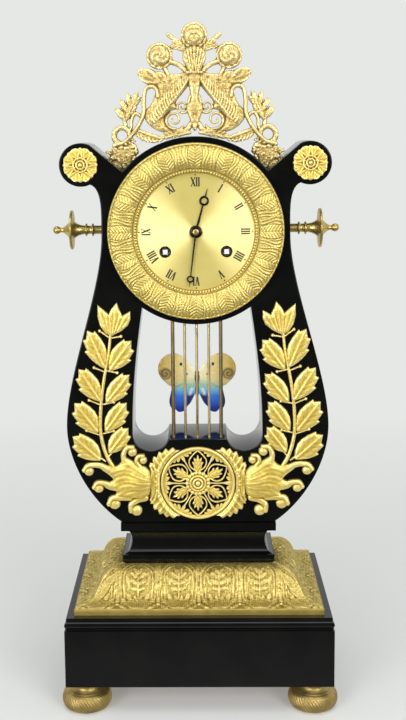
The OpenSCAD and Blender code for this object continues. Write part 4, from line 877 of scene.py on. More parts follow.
# Crest, drawn for the right half above the dial's centre
CREST_T = 3.0
FLOWER_R = 10.0
BASKET = [
    (45, 68), (49, 70.5), (56, 66.5), (64, 66), (67, 60), (65, 53), (60, 48), (55, 46.8), (48, 52.5),
    (44.5, 60),
]
SPRIG = [
    ((54, 84), (43.5, 107.5), 7), ((54, 85), (61.5, 95.5), 5.5), ((52, 90), (57.5, 102), 5),
    ((53, 88), (45.5, 95), 4.5), ((50, 94), (52, 107), 4.5), ((50, 95), (41.5, 103), 4.5),
]
WING = [
    (3, 122), (12, 120.5), (22, 119.5), (28.5, 113.5), (30.5, 105), (34, 97), (39, 92), (39, 87),
    (35.5, 81.5), (29, 77), (21, 75.2), (14, 75.6), (9, 77.8), (8.5, 82), (12, 79), (17, 78), (22, 82),
    (23.4, 87), (18.5, 92), (13.5, 94), (14.5, 99), (9, 106), (4, 113),
]
# Raised wing that lies over the body
PINION = [
    (3.6, 117.5), (9, 118.6), (17, 113), (25, 104), (31.5, 95), (35.4, 87), (33.5, 82.6), (28.5, 83),
    (22, 90.5), (14, 100.5), (7.5, 109),
]
NECK = [
    (28.5, 103), (29.5, 108.5), (33.5, 111), (38, 108.5), (39.4, 100), (39.4, 92), (41, 86.5), (44.5, 80),
    (49.5, 73.5), (56, 68), (63, 66),
]
VASE = [(-3, 120), (4.5, 120), (6, 125), (9, 131.5), (8.5, 137), (4, 141), (-3, 141)]
PENDANT = [
    (-3, 121), (5.5, 119), (4.6, 112), (3.4, 105), (3.4, 100), (6.2, 96.5), (6.6, 92.5), (4.6, 87.5),
    (2.8, 82), (1.2, 77.6), (-3, 77),
]
# Strands: line, radius at both ends, roundness and the height that it lies at
STRANDS = [
    ([(5, 115.5), (12, 105.5), (20, 96), (29, 85)], 0.7, 0.5, 0.7, 3.4),
    (NECK, 1.5, 1.6, 2.0, 1.8),
    ([(39, 90), (37, 86), (34, 82), (28, 78.5)], 1.2, 1.0, 1.6, CAST_BASE),
    ([(41.5, 88), (46, 90.5), (49, 86), (49.5, 80), (51, 76)], 1.4, 1.2, 1.6, CAST_BASE),
    ([(3.5, 103), (5, 97), (6.5, 91.6), (9, 90.6)], 1.3, 1.1, 1.4, CAST_BASE),
    ([(3, 82), (6, 78), (10, 76), (16, 77)], 2.2, 2.0, 1.8, CAST_BASE),
    ([(46, 78.5), (37, 74.5), (27, 71.5), (16, 73.3), (4, 75.2)], 1.3, 1.3, 1.6, 1.2),
    ([(53.5, 93), (55, 87), (54, 82), (54.5, 79)], 1.5, 1.5, 1.4, CAST_BASE),
    ([(4, 120), (11, 126.5), (18, 129.5), (22, 131)], 2.0, 1.8, 1.6, CAST_BASE),
    ([(20, 119), (22, 123), (24, 127)], 1.6, 1.6, 1.4, CAST_BASE),
    ([(12, 143), (15.5, 146.8), (19.6, 150)], 1.3, 1.8, 1.6, CAST_BASE),
    ([(-2, 121.2), (5.5, 121.2)], 1.2, 1.2, 1.6, 2.2),
]
# Leaves: root, tip, width, roundness, teeth, depth of the notches, bend and the height that it lies at
LEAVES = [
    ((48, 77.5), (25, 69.8), 8.5, 1.8, 5, 0.24, 0.06, 1.4), ((4, 76), (28, 71), 7.5, 1.8, 5, 0.24, 0.05, 1.4),
    ((25, 113), (44, 122.8), 11.5, 1.8, 1, 0, 0, 1.3), ((20, 112), (29.5, 122), 8.0, 1.6, 1, 0, 0, 1.3),
    ((7, 138), (16.5, 147), 7.5, 1.5, 2, 0.24, 0, 1.2), ((7, 141), (18.5, 141.5), 6.0, 1.5, 2, 0.24, 0, 1.2),
    ((0, 119), (0, 98), 6.4, 1.5, 3, 0.24, 0, 2.2), ((0, 95), (0, 77.5), 6.0, 1.6, 3, 0.24, 0, 2.2),
]
# Scrolls: centre, radius, turns, half width, roundness and starting height
SCROLLS = [((9.5, 95.3), 4.8, 1.3, 1.0, 1.6, 1.6), ((16, 85.2), 7.2, 1.35, 1.25, 1.8, 1.6)]
# Middle of the basket, the share of its outline that is solid, and the turn and reach of the leaves round it
BASKET_AT = (56, 58)
BASKET_SOLID = 0.82
BASKET_LEAVES = [
    (165, 12.5), (200, 12), (230, 13), (262, 12.5), (290, 11), (318, 11.5), (345, 12.5), (15, 12.5), (48, 11),
    (120, 12),
]
SIDE_FLOWER = (26.8, 134.0)
TOP_FLOWER = (0, 149.2)


def feathers(x, z):
    """Barbs of the raised wing."""
    along_wing = 0.72 * x - 0.69 * z
    across = 0.69 * x + 0.72 * z
    return 0.24 * np.cos(math.tau * (along_wing + 0.06 * (across - 82) ** 2) / 2.5)


def scales(x, z):
    """Breast feathers."""
    return 0.22 * np.cos(math.tau * (x + z) / 2.3) * np.cos(math.tau * (x - z) / 2.3)


def heap(relief, outline, count, small, large, seed, top, base):
    """Fruit and leaves heaped inside an outline."""
    rng = np.random.default_rng(seed)
    line = along(outline, closed=True)
    low, high = line.min(axis=0), line.max(axis=0)
    placed = 0
    while placed < count:
        centre = low + (high - low) * rng.random(2)
        if not inside_of(centre[:1], centre[1:], line)[0]:
            continue
        placed += 1
        r = small + (large - small) * rng.random()
        if placed % 3:
            relief.disc(centre, r, top * (0.7 + 0.5 * rng.random()), base=base)
        else:
            a = math.tau * rng.random()
            tip = centre + 2.6 * r * np.array([math.cos(a), math.sin(a)])
            relief.leaf(centre, tip, 2.2 * r, top, teeth=3, base=base)


def flower(relief, centre):
    """A round flower head: a flared rim of petals round a ball of closed ones."""
    relief.disc(centre, FLOWER_R, 1.4, base=1.4, edge=0.3)
    a = np.arctan2(relief.z - centre[1], relief.x - centre[0])
    d = relief.away(centre) / FLOWER_R
    relief.lay(d - 0.98, 2.6 + 0.25 * np.cos(12 * a) + 0 * d)
    ball = 2.4 + 3.0 * np.sqrt(clamp(1 - (d / 0.8) ** 2))
    folds = 0.24 * np.cos(3 * a + 11 * d)
    relief.lay(d - 0.8, ball + folds * clamp(6 * (0.8 - d)))


def crest_half():
    """The right half: a swan with its wing raised, a basket of fruit, scrolls, flowers and a pendant."""
    relief = Relief.sheet(-1.2, 44, 72, 162, RELIEF_STEP)
    x, z = relief.x, relief.z
    relief.shape(WING, 2.4, 6.0, pattern=scales(x, z))
    relief.shape(PINION, 1.8, 2.4, base=1.9, pattern=feathers(x, z))
    for line, r0, r1, top, base in STRANDS:
        relief.stroke(line, r0, r1, top, base)
    for root, tip, width, top, teeth, notch, bend, base in LEAVES:
        relief.leaf(root, tip, width, top, teeth, bend, base, notch)
    for root, tip, width in SPRIG:
        relief.spray(root, tip, width, 1.5, base=1.4)
    for scroll in SCROLLS:
        relief.volute(*scroll)
    # Basket of fruit under its ring
    relief.ring((56.8, 73.4), 6.2, 2.1, 2.2)
    solid = [tuple(m + BASKET_SOLID * (p - m) for p, m in zip(point, BASKET_AT)) for point in BASKET]
    relief.shape(solid, 2.0, 4.0, base=1.2)
    for turn, reach in BASKET_LEAVES:
        tip = polar(reach, turn, BASKET_AT)
        relief.leaf(BASKET_AT, tip, 6.5, 1.6, teeth=2, notch=0.32, full=0.6, base=1.3)
    heap(relief, BASKET, count=70, small=0.9, large=1.7, seed=3, top=1.3, base=2.4)
    # Vase and pendant on the axis, and the flowers
    flutes = 0.3 * np.cos(math.tau * np.arctan2(x, z - 112) / 0.1)
    relief.shape(VASE, 2.2, 3.5, base=1.4, pattern=flutes)
    relief.shape(PENDANT, 2.0, 3.0, base=1.4)
    for side in (-1, 1):
        relief.disc((2.9 * side, 93.6), 2.9, 1.5, base=2.2)
    for centre in (SIDE_FLOWER, TOP_FLOWER):
        flower(relief, centre)
    relief.chase(0.5, 23)
    return relief


def crest():
    """The whole crest, moulded on both sides, standing on the clock head."""
    sheet = Relief.mirrored(crest_half())
    sheet.out = np.maximum(sheet.out, HEAD_R - np.hypot(sheet.x, sheet.z))
    place = (0, middle_mm("crest")[0][1] + CREST_T / 2, HEAD_Z)
    piece = sheet.build("swan_crest", CREST_GILT, place, thick=CREST_T, both=True)
    stand_in(piece, "gilt_mount", "crest")


# Bezel and sight ring
BEZEL_UNITS = 16
BEZEL_TURNS = 1440
BEZEL_STEPS = 64
BEZEL_IN, BEZEL_OUT = 48.2, BEZEL_HALF[0]
BEZEL_H = 2 * BEZEL_HALF[1]
SIGHT_W = 3.1
BEADS = 132
BEAD_R = 1.05
BEAD_TURNS = 12


def ring_mesh(name, radii, heights, material, depth):
    """A closed ring round the dial's axis from heights over angle and radius."""
    turns, steps = heights.shape
    a = full_turn(turns)[:, None]
    r = np.broadcast_to(radii[None, :], heights.shape)
    front = np.stack([r * np.sin(a), FRONT_Y - heights, HEAD_Z + r * np.cos(a)], -1)
    rear = front[:, [-1, 0]]
    rear[:, :, 1] = FRONT_Y - depth
    points = np.concatenate([front, rear], 1).reshape(-1, 3)
    faces = outward(points, grid_faces(turns, steps + 2, True, True))
    # Painted light and burnish: how far each height stands above its blurred surroundings, for painted shade
    # in hollows and a painted highlight on ridges
    tone = np.clip((heights - blurred(heights)) / PAINTED_LIGHT_HEIGHT, -1, 1)
    tone = np.concatenate([tone, 0 * tone[:, :2]], 1).ravel()
    return add_mesh(name, points, faces, material, sharp=70, tone=tone)


def bezel():
    """Broad gilt bezel in low relief: veined leaves and fans of reeds in turn, with a scalloped rim."""
    radii = np.linspace(BEZEL_IN, BEZEL_OUT, BEZEL_STEPS)
    a, r = np.meshgrid(full_turn(BEZEL_TURNS), radii, indexing="ij")
    half = (BEZEL_OUT - BEZEL_IN) / 2
    share = (r - BEZEL_IN) / (2 * half)
    width = math.tau / BEZEL_UNITS
    unit = np.floor((a + width / 2) / width) % BEZEL_UNITS
    limit = width / 2 * r
    fold = np.abs((a + width / 2) % width - width / 2) * r
    leaf = limit * (0.24 + 0.26 * np.sin(math.pi * clamp(0.12 + 0.8 * share)))
    q = fold / leaf
    chevrons = 0.2 * np.cos(math.tau * (8 * share - 1.5 * q + 0.37 * unit))
    chevrons -= 0.25 * np.exp(-(fold / 0.35) ** 2)
    p = (fold - leaf) / (limit - leaf)
    reeds = 0.24 * np.cos(math.tau * (2.5 * p + 0.3 * np.sin(2.2 * math.pi * share)))
    reeds += 0.12 * np.cos(math.tau * (9 * share + p + 0.61 * unit)) * p
    ornament = np.where(q < 1, 0.2 + chevrons, reeds)
    ornament -= 0.5 * np.exp(-((fold - leaf) / 0.36) ** 2)
    ornament = 0.85 * ornament + np.random.default_rng(7).normal(0, 0.06, r.shape)
    ornament *= clamp((r - BEZEL_IN) / 1.2) * clamp((BEZEL_OUT - 1.8 - r) / 0.5)
    bow = np.clip((r - BEZEL_IN - half) / half, -1, 1)
    base = BEZEL_H * 0.34 + BEZEL_H * 0.56 * np.sqrt(clamp(1 - bow * bow * 0.94))
    rim = clamp((r - BEZEL_OUT + 1.8) / 0.6) * clamp((BEZEL_OUT - r) / 0.5)
    heights = base + ornament + rim * (0.8 + 0.8 * np.abs(np.sin(48 * a)))
    heights[:, -1] = BEZEL_H * 0.3
    piece = ring_mesh("bezel_leafage", radii, heights, BEZEL_GILT, 0.0)
    stand_in(piece, "gilt_mount", "bezel")


def sight_ring():
    """Beaded ring at the dial's edge."""
    low, high = box_mm("sight_ring")
    outer = (high[0] - low[0]) / 2
    inner = outer - SIGHT_W
    radii = np.linspace(inner, outer, 16)
    a, r = np.meshgrid(full_turn(BEADS * BEAD_TURNS), radii, indexing="ij")
    back = FRONT_Y - high[1]
    top = FRONT_Y - low[1]
    row = inner + SIGHT_W / 2
    along_row = ((a * BEADS / math.tau) % 1 - 0.5) * math.tau * row / BEADS
    bead = np.sqrt(clamp(1 - (along_row ** 2 + (r - row) ** 2) / BEAD_R ** 2))
    heights = back + 1.4 + 0.5 * (r - inner) / (outer - inner) + bead * (top - back - 2.1)
    piece = ring_mesh("beaded_ring", radii, heights, BEZEL_GILT, back)
    stand_in(piece, "gilt_mount", "sight_ring")


# Cushion: plain fillet, then an ogee of anthemia under arches, on all four sides
CUSHION_LOW, CUSHION_HIGH = box_mm("cushion_moulding")
FILLET_H = 4.8
# Fillet section as inset and height, and how far the ogee above it is set in
FILLET = [(0, 0), (0, 2), (0, 4.3), (0.12, 4.65)]
OGEE_IN = 0.4
CUSHION_RUN = 36.0
UNIT_W = 31.8
# Leaves of one unit's right half: small spray under the arch, and splayed acanthus below it
ARCH_SPRAY = [((0, 31), (3.2, 38), 3.2), ((0, 28), (6.2, 33.5), 3.4), ((0, 23.5), (7.6, 27.2), 3.4),
              ((0, 19), (5.6, 21), 3), ((6.5, 23), (9.6, 30.5), 2.6)]
SPLAYED = [((0, 0.4), (2.6, 15), 4.5), ((1.5, 0.4), (8.2, 16.5), 5), ((3, 0.4), (12.6, 12.5), 5),
           ((8, 0.4), (14.5, 6), 4)]
# Places along the long and the short sides
SIDE_STEPS = (390, 260)


def cushion_section():
    """Inset and height of the moulding from its foot to the pedestal, with distance up from the fillet."""
    rise = CUSHION_HIGH[2] - CUSHION_LOW[2] - FILLET_H
    ogee = np.vstack([bezier((0, 0), (0.2, 0.06), (0.36, 0.1), (0.42, 0.3), 26),
                      bezier((0.42, 0.3), (0.5, 0.62), (0.62, 1), (1, 1), 45), [(1, 1)]])
    ogee = (OGEE_IN, FILLET_H) + (CUSHION_RUN - OGEE_IN, rise) * ogee
    inset, height = np.vstack([FILLET, ogee]).T
    run = np.concatenate([[0], np.cumsum(np.hypot(np.diff(inset), np.diff(height)))])
    return inset, height, run - run[len(FILLET)]


def palmette_band(x, s, hip):
    """Heights of the ornament at a place along a side, up its section and in from its hip."""
    unit = Relief((x % UNIT_W) - UNIT_W / 2, s)
    column = UNIT_W / 2
    low = {"base": 0.1}
    for inset, r in ((0.0, 0.7), (2.6, 0.5)):
        w = 14.0 - inset
        half = [(0.9 * w, 8), (w, 28), (0.74 * w, 39.5 - inset)]
        arch = [(-x, z) for x, z in half] + [(0, 44.5 - inset)] + half[::-1]
        unit.stroke(arch, r, r, 0.3, **low)
    unit.stroke([(0, 12), (0, 36)], 0.6, 0.5, 0.5, **low)
    for side in (-1, 1):
        for leaves, top, teeth in ((ARCH_SPRAY, 0.55, 2), (SPLAYED, 0.8, 3)):
            for root, tip, width in leaves:
                unit.leaf((side * root[0], root[1]), (side * tip[0], tip[1]), width, top, teeth=teeth, **low)
        for shift in (-1.3, 0, 1.3):
            unit.stroke([(column * side + 0.7 * shift, 9), (column * side + shift, 36)], 0.5, 0.5, 0.5, **low)
        unit.leaf((column * side, 30), (column * side, 43), 6, 0.6, teeth=3, **low)
        unit.disc((column * side, 6.4), 1.5, 0.8, **low)
    corner = Relief(hip, s)
    corner.leaf((1.5, 5), (7.5, 33), 9, 0.8, teeth=9, notch=0, base=0.2)
    corner.stroke([(0.9, 0), (0.9, 46)], 0.6, 0.6, 0.5, base=0.2)
    corner.stroke([(3, 2), (10.5, 14), (10, 27), (6.5, 35)], 0.5, 0.5, 0.5, base=0.1)
    rng = np.random.default_rng(11)
    ground = 0.5 * blurred(rng.normal(0, 1, x.shape), 1) + rng.normal(0, 0.05, x.shape)
    reeded = 0.07 * np.cos(math.tau * x / 1.9) * clamp((s - 12) / 6)
    hatch = np.cos(math.tau * (x + 0.7 * s) / 3.1) * np.cos(math.tau * (x - 0.7 * s) / 3.7)
    reeded += 0.2 * hatch * clamp((14 - s) / 6)
    band = np.where(hip > 2, np.maximum(unit.high, 0) + reeded, 0)
    heights = 0.85 * np.where(corner.out < 0, corner.high, band) + ground
    return heights * clamp(s / 1.0) * clamp(hip / 0.8)


def cushion():
    """The cast gilt cushion."""
    inset, height, run = cushion_section()
    slope_in, slope_up = np.gradient(inset), np.gradient(height)
    length = np.hypot(slope_in, slope_up)
    out_n, up_n = slope_up / length, slope_in / length
    half = CUSHION_HIGH[:2]
    points, faces, tones = [], [], []
    for axis in (0, 1):
        for sign in (-1, 1):
            share = np.linspace(-1, 1, SIDE_STEPS[axis])[:, None]
            reach = (half[axis] - inset)[None, :]
            x = share * reach
            hip = reach - np.abs(x)
            s = np.broadcast_to(run[None, :], x.shape)
            rise = palmette_band(x, s, hip)
            lean = clamp(1 - hip / 3.0) * np.sign(share)
            side = lean * out_n
            norm = np.sqrt(out_n ** 2 + up_n ** 2 + side ** 2)
            place = [0, 0, 0]
            place[axis] = x + rise * side / norm
            place[1 - axis] = sign * ((half[1 - axis] - inset)[None, :] + rise * out_n / norm)
            place[2] = CUSHION_LOW[2] + height[None, :] + rise * up_n / norm
            grid = np.stack(np.broadcast_arrays(*place), -1)
            quads = grid_faces(*x.shape)
            if (sign < 0) == (axis == 1):
                quads = quads[:, ::-1]
            faces.append(quads + sum(len(p) for p in points))
            points.append(grid.reshape(-1, 3))
            # Painted light and burnish: how far each height stands above its blurred surroundings, for
            # painted shade in hollows and a painted highlight on ridges
            tones.append(np.clip((rise - blurred(rise)) / (1.1 * PAINTED_LIGHT_HEIGHT), -1, 1).ravel())
    tone = np.concatenate(tones)
    piece = add_mesh("cushion", np.vstack(points), np.vstack(faces), CUSHION_GILT, sharp=70, tone=tone)
    stand_in(piece, "gilt_mount", "cushion_moulding")


# Foot section as shares of its radius and height
FOOT = [
    (0.6, 0), (0.8, 0.015), (0.95, 0.14), (1.0, 0.33), (0.95, 0.52), (0.85, 0.61), (0.76, 0.645),
    (0.72, 0.67), (0.66, 0.69), (0.58, 0.76), (0.545, 0.84), (0.58, 0.93), (0.62, 1.0),
]
# Slanting cuts round the belly, their slant in millimetres a cut, and their depth
FOOT_CUTS = 48
CUT_SLANT = 3.6
CUT_DEPTH = 0.55


def feet():
    """Turned brass feet with an engine-turned belly."""
    for name in ("front_left", "front_right", "back_left", "back_right"):
        low, high = box_mm(f"foot_{name}")
        r, h = (high[0] - low[0]) / 2, high[2] - low[2]
        middle = (low + high) / 2
        profile = to_axis(along(FOOT, steps=8)) * (r, h)

        def engine_turning(a, rad, up):
            cut = np.abs(np.cos((FOOT_CUTS * a + math.tau * up / CUT_SLANT) / 2))
            band = clamp((up - 0.08 * h) / 1.2) * clamp((0.58 * h - up) / 1.2) * (rad > 0)
            return CUT_DEPTH * band * (cut - 1)

        place = (middle[0], middle[1], low[2])
        piece = lathe(f"turned_foot_{name}", profile, place, "up", FOOT_BRASS, turns=8 * FOOT_CUTS,
                      shape=engine_turning)
        stand_in(piece, "antique_brass", f"foot_{name}")


# Turned peg, from its seat outwards: radius of the shaft, middles of the rings and disc, and its length
PEG_SHAFT = 3.5
PEG_RINGS = (8.5, 13.6)
PEG_DISC = 25.1
PEG_LENGTH = 40.18
# Half thickness of the disc and of its rim, and the step between them
DISC_HALF = 0.95
RIM_HALF = 0.5
RIM_STEP = 0.4
# Half section of a ring and of the hubs on both sides of the disc: radius in shafts and place in millimetres
PEG_RING = [(1, -1), (1.4, -0.5), (1.43, 0), (1.4, 0.5), (1, 1)]
INNER_HUB = [(1, -10.2), (1.06, -8.2), (1.25, -5.9), (1.6, -3.6), (2, -2.1), (2.9, -1.35)]
OUTER_HUB = [(2.9, 1.35), (2, 2), (1.55, 3), (1.1, 4.5), (0.72, 6.2), (0.55, 7.8)]
PEG_KNOB = [(2.4, -5.4), (3.2, -3.2), (2.3, -0.9), (0, 0)]


def pegs():
    """Turned tuning pegs at the clock head's sides."""
    for side in ("left", "right"):
        low, high = box_mm(f"peg_{side}")
        out = max(abs(low[0]), abs(high[0]))
        start = min(abs(low[0]), abs(high[0]))
        rim = (high[2] - low[2]) / 2
        seat = out - PEG_LENGTH
        disc = seat + PEG_DISC
        shaft = PEG_SHAFT
        neck = [(shaft, start)]
        for ring in PEG_RINGS:
            neck += [(shaft * r, seat + ring + at) for r, at in PEG_RING]
        neck += [(shaft * r, disc + at) for r, at in INNER_HUB] + [(rim - RIM_STEP, disc - DISC_HALF)]
        tip = [(rim - RIM_STEP, disc + DISC_HALF)] + [(shaft * r, disc + at) for r, at in OUTER_HUB]
        tip += [(0.55 * shaft, out - 6)] + [(r, out + at) for r, at in PEG_KNOB]
        edge = [(rim, disc - RIM_HALF), (rim, disc + RIM_HALF)]
        profile = np.vstack([[(0.0, start)], along(neck), edge, along(tip)])
        piece = lathe(f"turned_peg_{side}", profile, (0, 0, HEAD_Z), side, ANTIQUE, turns=72)
        stand_in(piece, "antique_brass", f"peg_{side}")


STRING_PITCH = 9.4
STRING_R = 1.05
HEAVY_R = 1.45
# How far a string runs up behind the head's edge, and how far it starts above its seat
STRING_HIDDEN = 5
STRING_SEAT = 0.5
STRING_STEPS = 40


def strings():
    """Five strings, the outer two heavier and darker."""
    low = box_mm("strings")[0]
    y = middle_mm("strings")[0][1]
    for i in range(-2, 3):
        heavy = abs(i) == 2
        r, metal = (HEAVY_R, HEAVY_STRING) if heavy else (STRING_R, STRING_BRASS)
        x = i * STRING_PITCH
        top = HEAD_Z - math.sqrt(HEAD_R ** 2 - x * x) + STRING_HIDDEN
        rod = [(r, up) for up in np.linspace(low[2] + STRING_SEAT, top, STRING_STEPS)]
        piece = lathe(f"string_{i + 3}", to_axis(rod), (x, y, 0), "up", metal, turns=24)
        stand_in(piece, "antique_brass", "strings")


# Dial furniture
NUMERALS = ["XII", "I", "II", "III", "IIII", "V", "VI", "VII", "VIII", "IX", "X", "XI"]
NUMERAL_R = 38.2
NUMERAL_H = 6.6
TICK_R = 43.6
TICK_HALF = 0.6
TICK_W = 0.8
INK_T = 0.12
INK_SUNK = 0.02


# Letters: width, strokes as two ends and a width, and the places of their serifs
LETTERS = {
    "I": (0.26, [(0.13, 0, 0.13, 1, 0.17)], [(0.13, 0), (0.13, 1)]),
    "V": (0.56, [(0.1, 1, 0.28, 0, 0.18), (0.46, 1, 0.28, 0, 0.09)], [(0.1, 1), (0.46, 1)]),
    "X": (0.56, [(0.08, 1, 0.48, 0, 0.18), (0.48, 1, 0.08, 0, 0.09)],
          [(0.09, 1), (0.47, 1), (0.09, 0), (0.47, 0)]),
}
SERIF_HALF = 0.1
SERIF_W = 0.06
# Corners of the six faces of a bar
BAR_FACES = ((0, 1, 2, 3), (7, 6, 5, 4), (1, 0, 4, 5), (2, 1, 5, 6), (3, 2, 6, 7), (0, 3, 7, 4))


def numeral_bars(text):
    """Strokes of a Roman numeral as (x0, z0, x1, z1, width), one unit high, with its total width."""
    bars, x = [], 0.0
    for letter in text:
        wide, strokes, serifs = LETTERS[letter]
        bars += [(x + x0, z0, x + x1, z1, w) for x0, z0, x1, z1, w in strokes]
        bars += [(x + at - SERIF_HALF, z, x + at + SERIF_HALF, z, SERIF_W) for at, z in serifs]
        x += wide
    return bars, x


def slab_bar(x0, z0, x1, z1, width):
    """Corners of a flat bar between two places."""
    along_x, along_z = x1 - x0, z1 - z0
    length = math.hypot(along_x, along_z)
    sx, sz = -along_z / length * width / 2, along_x / length * width / 2
    return [(x0 + sx, z0 + sz), (x0 - sx, z0 - sz), (x1 - sx, z1 - sz), (x1 + sx, z1 + sz)]


def dial_marks():
    """Roman numerals and hour ticks, standing radially, as one inked piece."""
    points, faces = [], []

    def add_bar(bar, angle):
        c, s = polar(1, angle)
        first = len(points)
        for y in (DIAL_Y - INK_T, DIAL_Y + INK_SUNK):
            for x, z in bar:
                points.append((x * c + z * s, y, HEAD_Z + z * c - x * s))
        faces.extend([first + corner for corner in face] for face in BAR_FACES)

    for hour, text in enumerate(NUMERALS):
        bars, width = numeral_bars(text)
        for x0, z0, x1, z1, w in bars:
            bar = slab_bar(x0 - width / 2, z0, x1 - width / 2, z1, w)
            bar = [(x * NUMERAL_H, NUMERAL_R - NUMERAL_H / 2 + z * NUMERAL_H) for x, z in bar]
            add_bar(bar, 30 * hour)
        add_bar(slab_bar(0, TICK_R - TICK_HALF, 0, TICK_R + TICK_HALF, TICK_W), 30 * hour)
    piece = add_mesh("dial_numerals", points, faces, INK)


WINDING = ((-23.6, -15.4), (23.6, -15.4))
WINDING_R = 3.6
# Collar section: radius past the winding hole's, and how far it stands out
COLLAR = [(0, -1), (0.9, -1), (0.9, 0.2), (0.6, 0.45), (0.2, 0.45), (-0.1, 0.2), (-0.1, -1)]


def winding_rings():
    """Dark collars round the winding holes."""
    for i, (x, z) in enumerate(WINDING):
        profile = [(WINDING_R + past, out) for past, out in COLLAR]
        piece = lathe(f"winding_collar_{i + 1}", profile, (x, DIAL_Y, HEAD_Z + z), "front", BLUED, turns=64)


# Moon hands: name, node, length, radius of the hub, place and radius of the ring, half width and angle
MOON_HANDS = (
    ("hour_moon", "hour_hand", 34.0, 4.9, 24.6, 3.7, 1.0, 15.6),
    ("minute_moon", "minute_hand", 42.5, 4.2, 36.6, 2.7, 0.85, 187.0),
)
HAND_BASE = 0.3
HAND_TIP = 0.16
HAND_ROOM = 0.6
HAND_STEP = 0.14


def hand(name, node, length, hub, ring_at, ring_r, half, angle):
    """A moon hand: domed hub, tapering shaft, pierced ring and fine tip."""
    wide = hub + HAND_ROOM
    relief = Relief.sheet(-wide, -wide, wide, length + HAND_ROOM, HAND_STEP)
    relief.stroke([(0, 0), (0, ring_at - 0.9 * ring_r)], half, 0.55 * half, 0.35, HAND_BASE)
    relief.ring((0, ring_at), 0.8 * ring_r, 0.22 * ring_r, 0.35, HAND_BASE)
    relief.stroke([(0, ring_at + 0.9 * ring_r), (0, length)], 0.6 * half, HAND_TIP, 0.3, HAND_BASE)
    relief.disc((0, 0), hub, 0.3, base=0.35, edge=0.4)
    relief.ring((0, 0), 0.72 * hub, 0.12 * hub, 0.2, base=0.5)
    piece = relief.build(name, BLUED, (0, box_mm(node)[1][1], HEAD_Z), node, turn=angle)
    stand_in(piece, "blued_steel", node)


def hands():
    """Both hands and the brass collet over them."""
    for measures in MOON_HANDS:
        hand(*measures)
    low, high = box_mm("hand_nut")
    r, h = (high[0] - low[0]) / 2, high[1] - low[1]
    dome_line = along([(r, 0), (r, 0.3 * h), (0.85 * r, 0.75 * h), (0.5 * r, 0.9 * h)], steps=5)
    profile = np.vstack([[(0, 0)], dome_line, [(0.4 * r, 0.55 * h), (0, 0.6 * h)]])
    piece = lathe("collet", profile, (0, high[1], HEAD_Z), "front", BRASS, "minute_hand", turns=48)
    stand_in(piece, "clock_brass", "hand_nut")


# Enamelled butterfly on the pendulum
FORE_WING = [
    (1, 10), (6, 18.5), (10, 23), (15.5, 26.4), (21, 27.2), (27, 24.6), (31, 19.6), (32.2, 14), (31, 8.5),
    (27, 3.4), (22, -0.5), (12, -3), (1, -2),
]
HIND_WING = [
    (1, 0), (12, 0), (20, -2), (22.3, -8), (23.2, -14), (21.6, -19), (18.8, -19.5), (15.5, -22.5),
    (11, -21.5), (8.2, -17.5), (5.5, -14.5), (3, -9.5), (1, -5),
]
EYE = (26.2, 10.2)
BODY = [(0.3, -10), (1.3, -8), (1.8, -3), (1.5, 1), (2.1, 5), (2.2, 8), (1.7, 10), (2.0, 11.2), (0.8, 12.6)]
# Height of the pendulum's pivot over the dial's centre, and how far the wings' middle hangs below it
PIVOT_UP = 29
BOB_DROP = 161.5
# Dark spots of the fore wing: place and radius
SPOTS = [(20.5, 23.8, 1.1), (13.2, 18.2, 1.3), (8.2, 9.8, 0.8), (10.8, 16.4, 0.7)]


def wing_paint(x, z):
    """Colours of the wings: ochre fore wings with an eye spot, a green band, and blue hind wings."""
    side = np.abs(x)

    def painted(ground, layers):
        """A ground colour under layers of other colours, each with its strength at every place."""
        paint = np.tile(np.array(ground), (len(x), 1))
        for colour, amount in layers:
            paint = paint + (np.array(colour) - paint) * amount[:, None]
        return paint

    line = 0.5 + 0.5 * np.cos(math.tau * (z - 0.12 * side) / 1.9)
    eye = np.hypot(side - EYE[0], (z - EYE[1]) * 1.05)
    round_eye = np.arctan2(z - EYE[1], side - EYE[0]) / math.tau
    swirl = 0.5 + 0.5 * np.cos(math.tau * (eye / 3.0 - round_eye))
    spots = [clamp((r - np.hypot(side - sx, (z - sz) * 0.8)) / 0.4) for sx, sz, r in SPOTS]
    streak = 0.75 + 0.25 * np.cos(26 * np.arctan2(z - 8, side))
    fore = painted((0.92, 0.72, 0.26), [
        ((0.95, 0.86, 0.52), clamp((16 - side) / 10)),
        ((0.95, 0.64, 0.13), clamp((side - 22) / 6) * clamp((z - 12) / 5)),
        ((0.5, 0.48, 0.24), 0.35 * line * clamp((14 - z) / 8)),
        ((0.24, 0.12, 0.02), clamp((5.8 - eye) / 1.2) * (0.45 + 0.5 * swirl)),
        *(((0.015, 0.012, 0.008), spot) for spot in spots),
        ((0.16, 0.48, 0.44), clamp((7.5 - z - 0.18 * side) / 6) * clamp((30 - side) / 8) * streak),
    ])
    wedge = clamp(1 - np.abs(side - 4.8 + 0.35 * (z + 4)) / 2.0) * clamp((z + 9) / 2)
    hind = painted((0.22, 0.55, 0.72), [
        ((0.03, 0.18, 0.78), clamp((-3 - z) / 6)),
        ((0.012, 0.04, 0.34), clamp((-11 - z) / 8)),
        ((0.012, 0.02, 0.12), clamp((side - 19.5) / 2.5)),
        ((0.015, 0.025, 0.15), clamp((9.5 - side) / 1.5) * clamp((-6 - z) / 3)),
        ((0.78, 0.83, 0.74), wedge),
    ])
    return fore + (hind - fore) * clamp((-1.5 - z) / 0.8)[:, None]


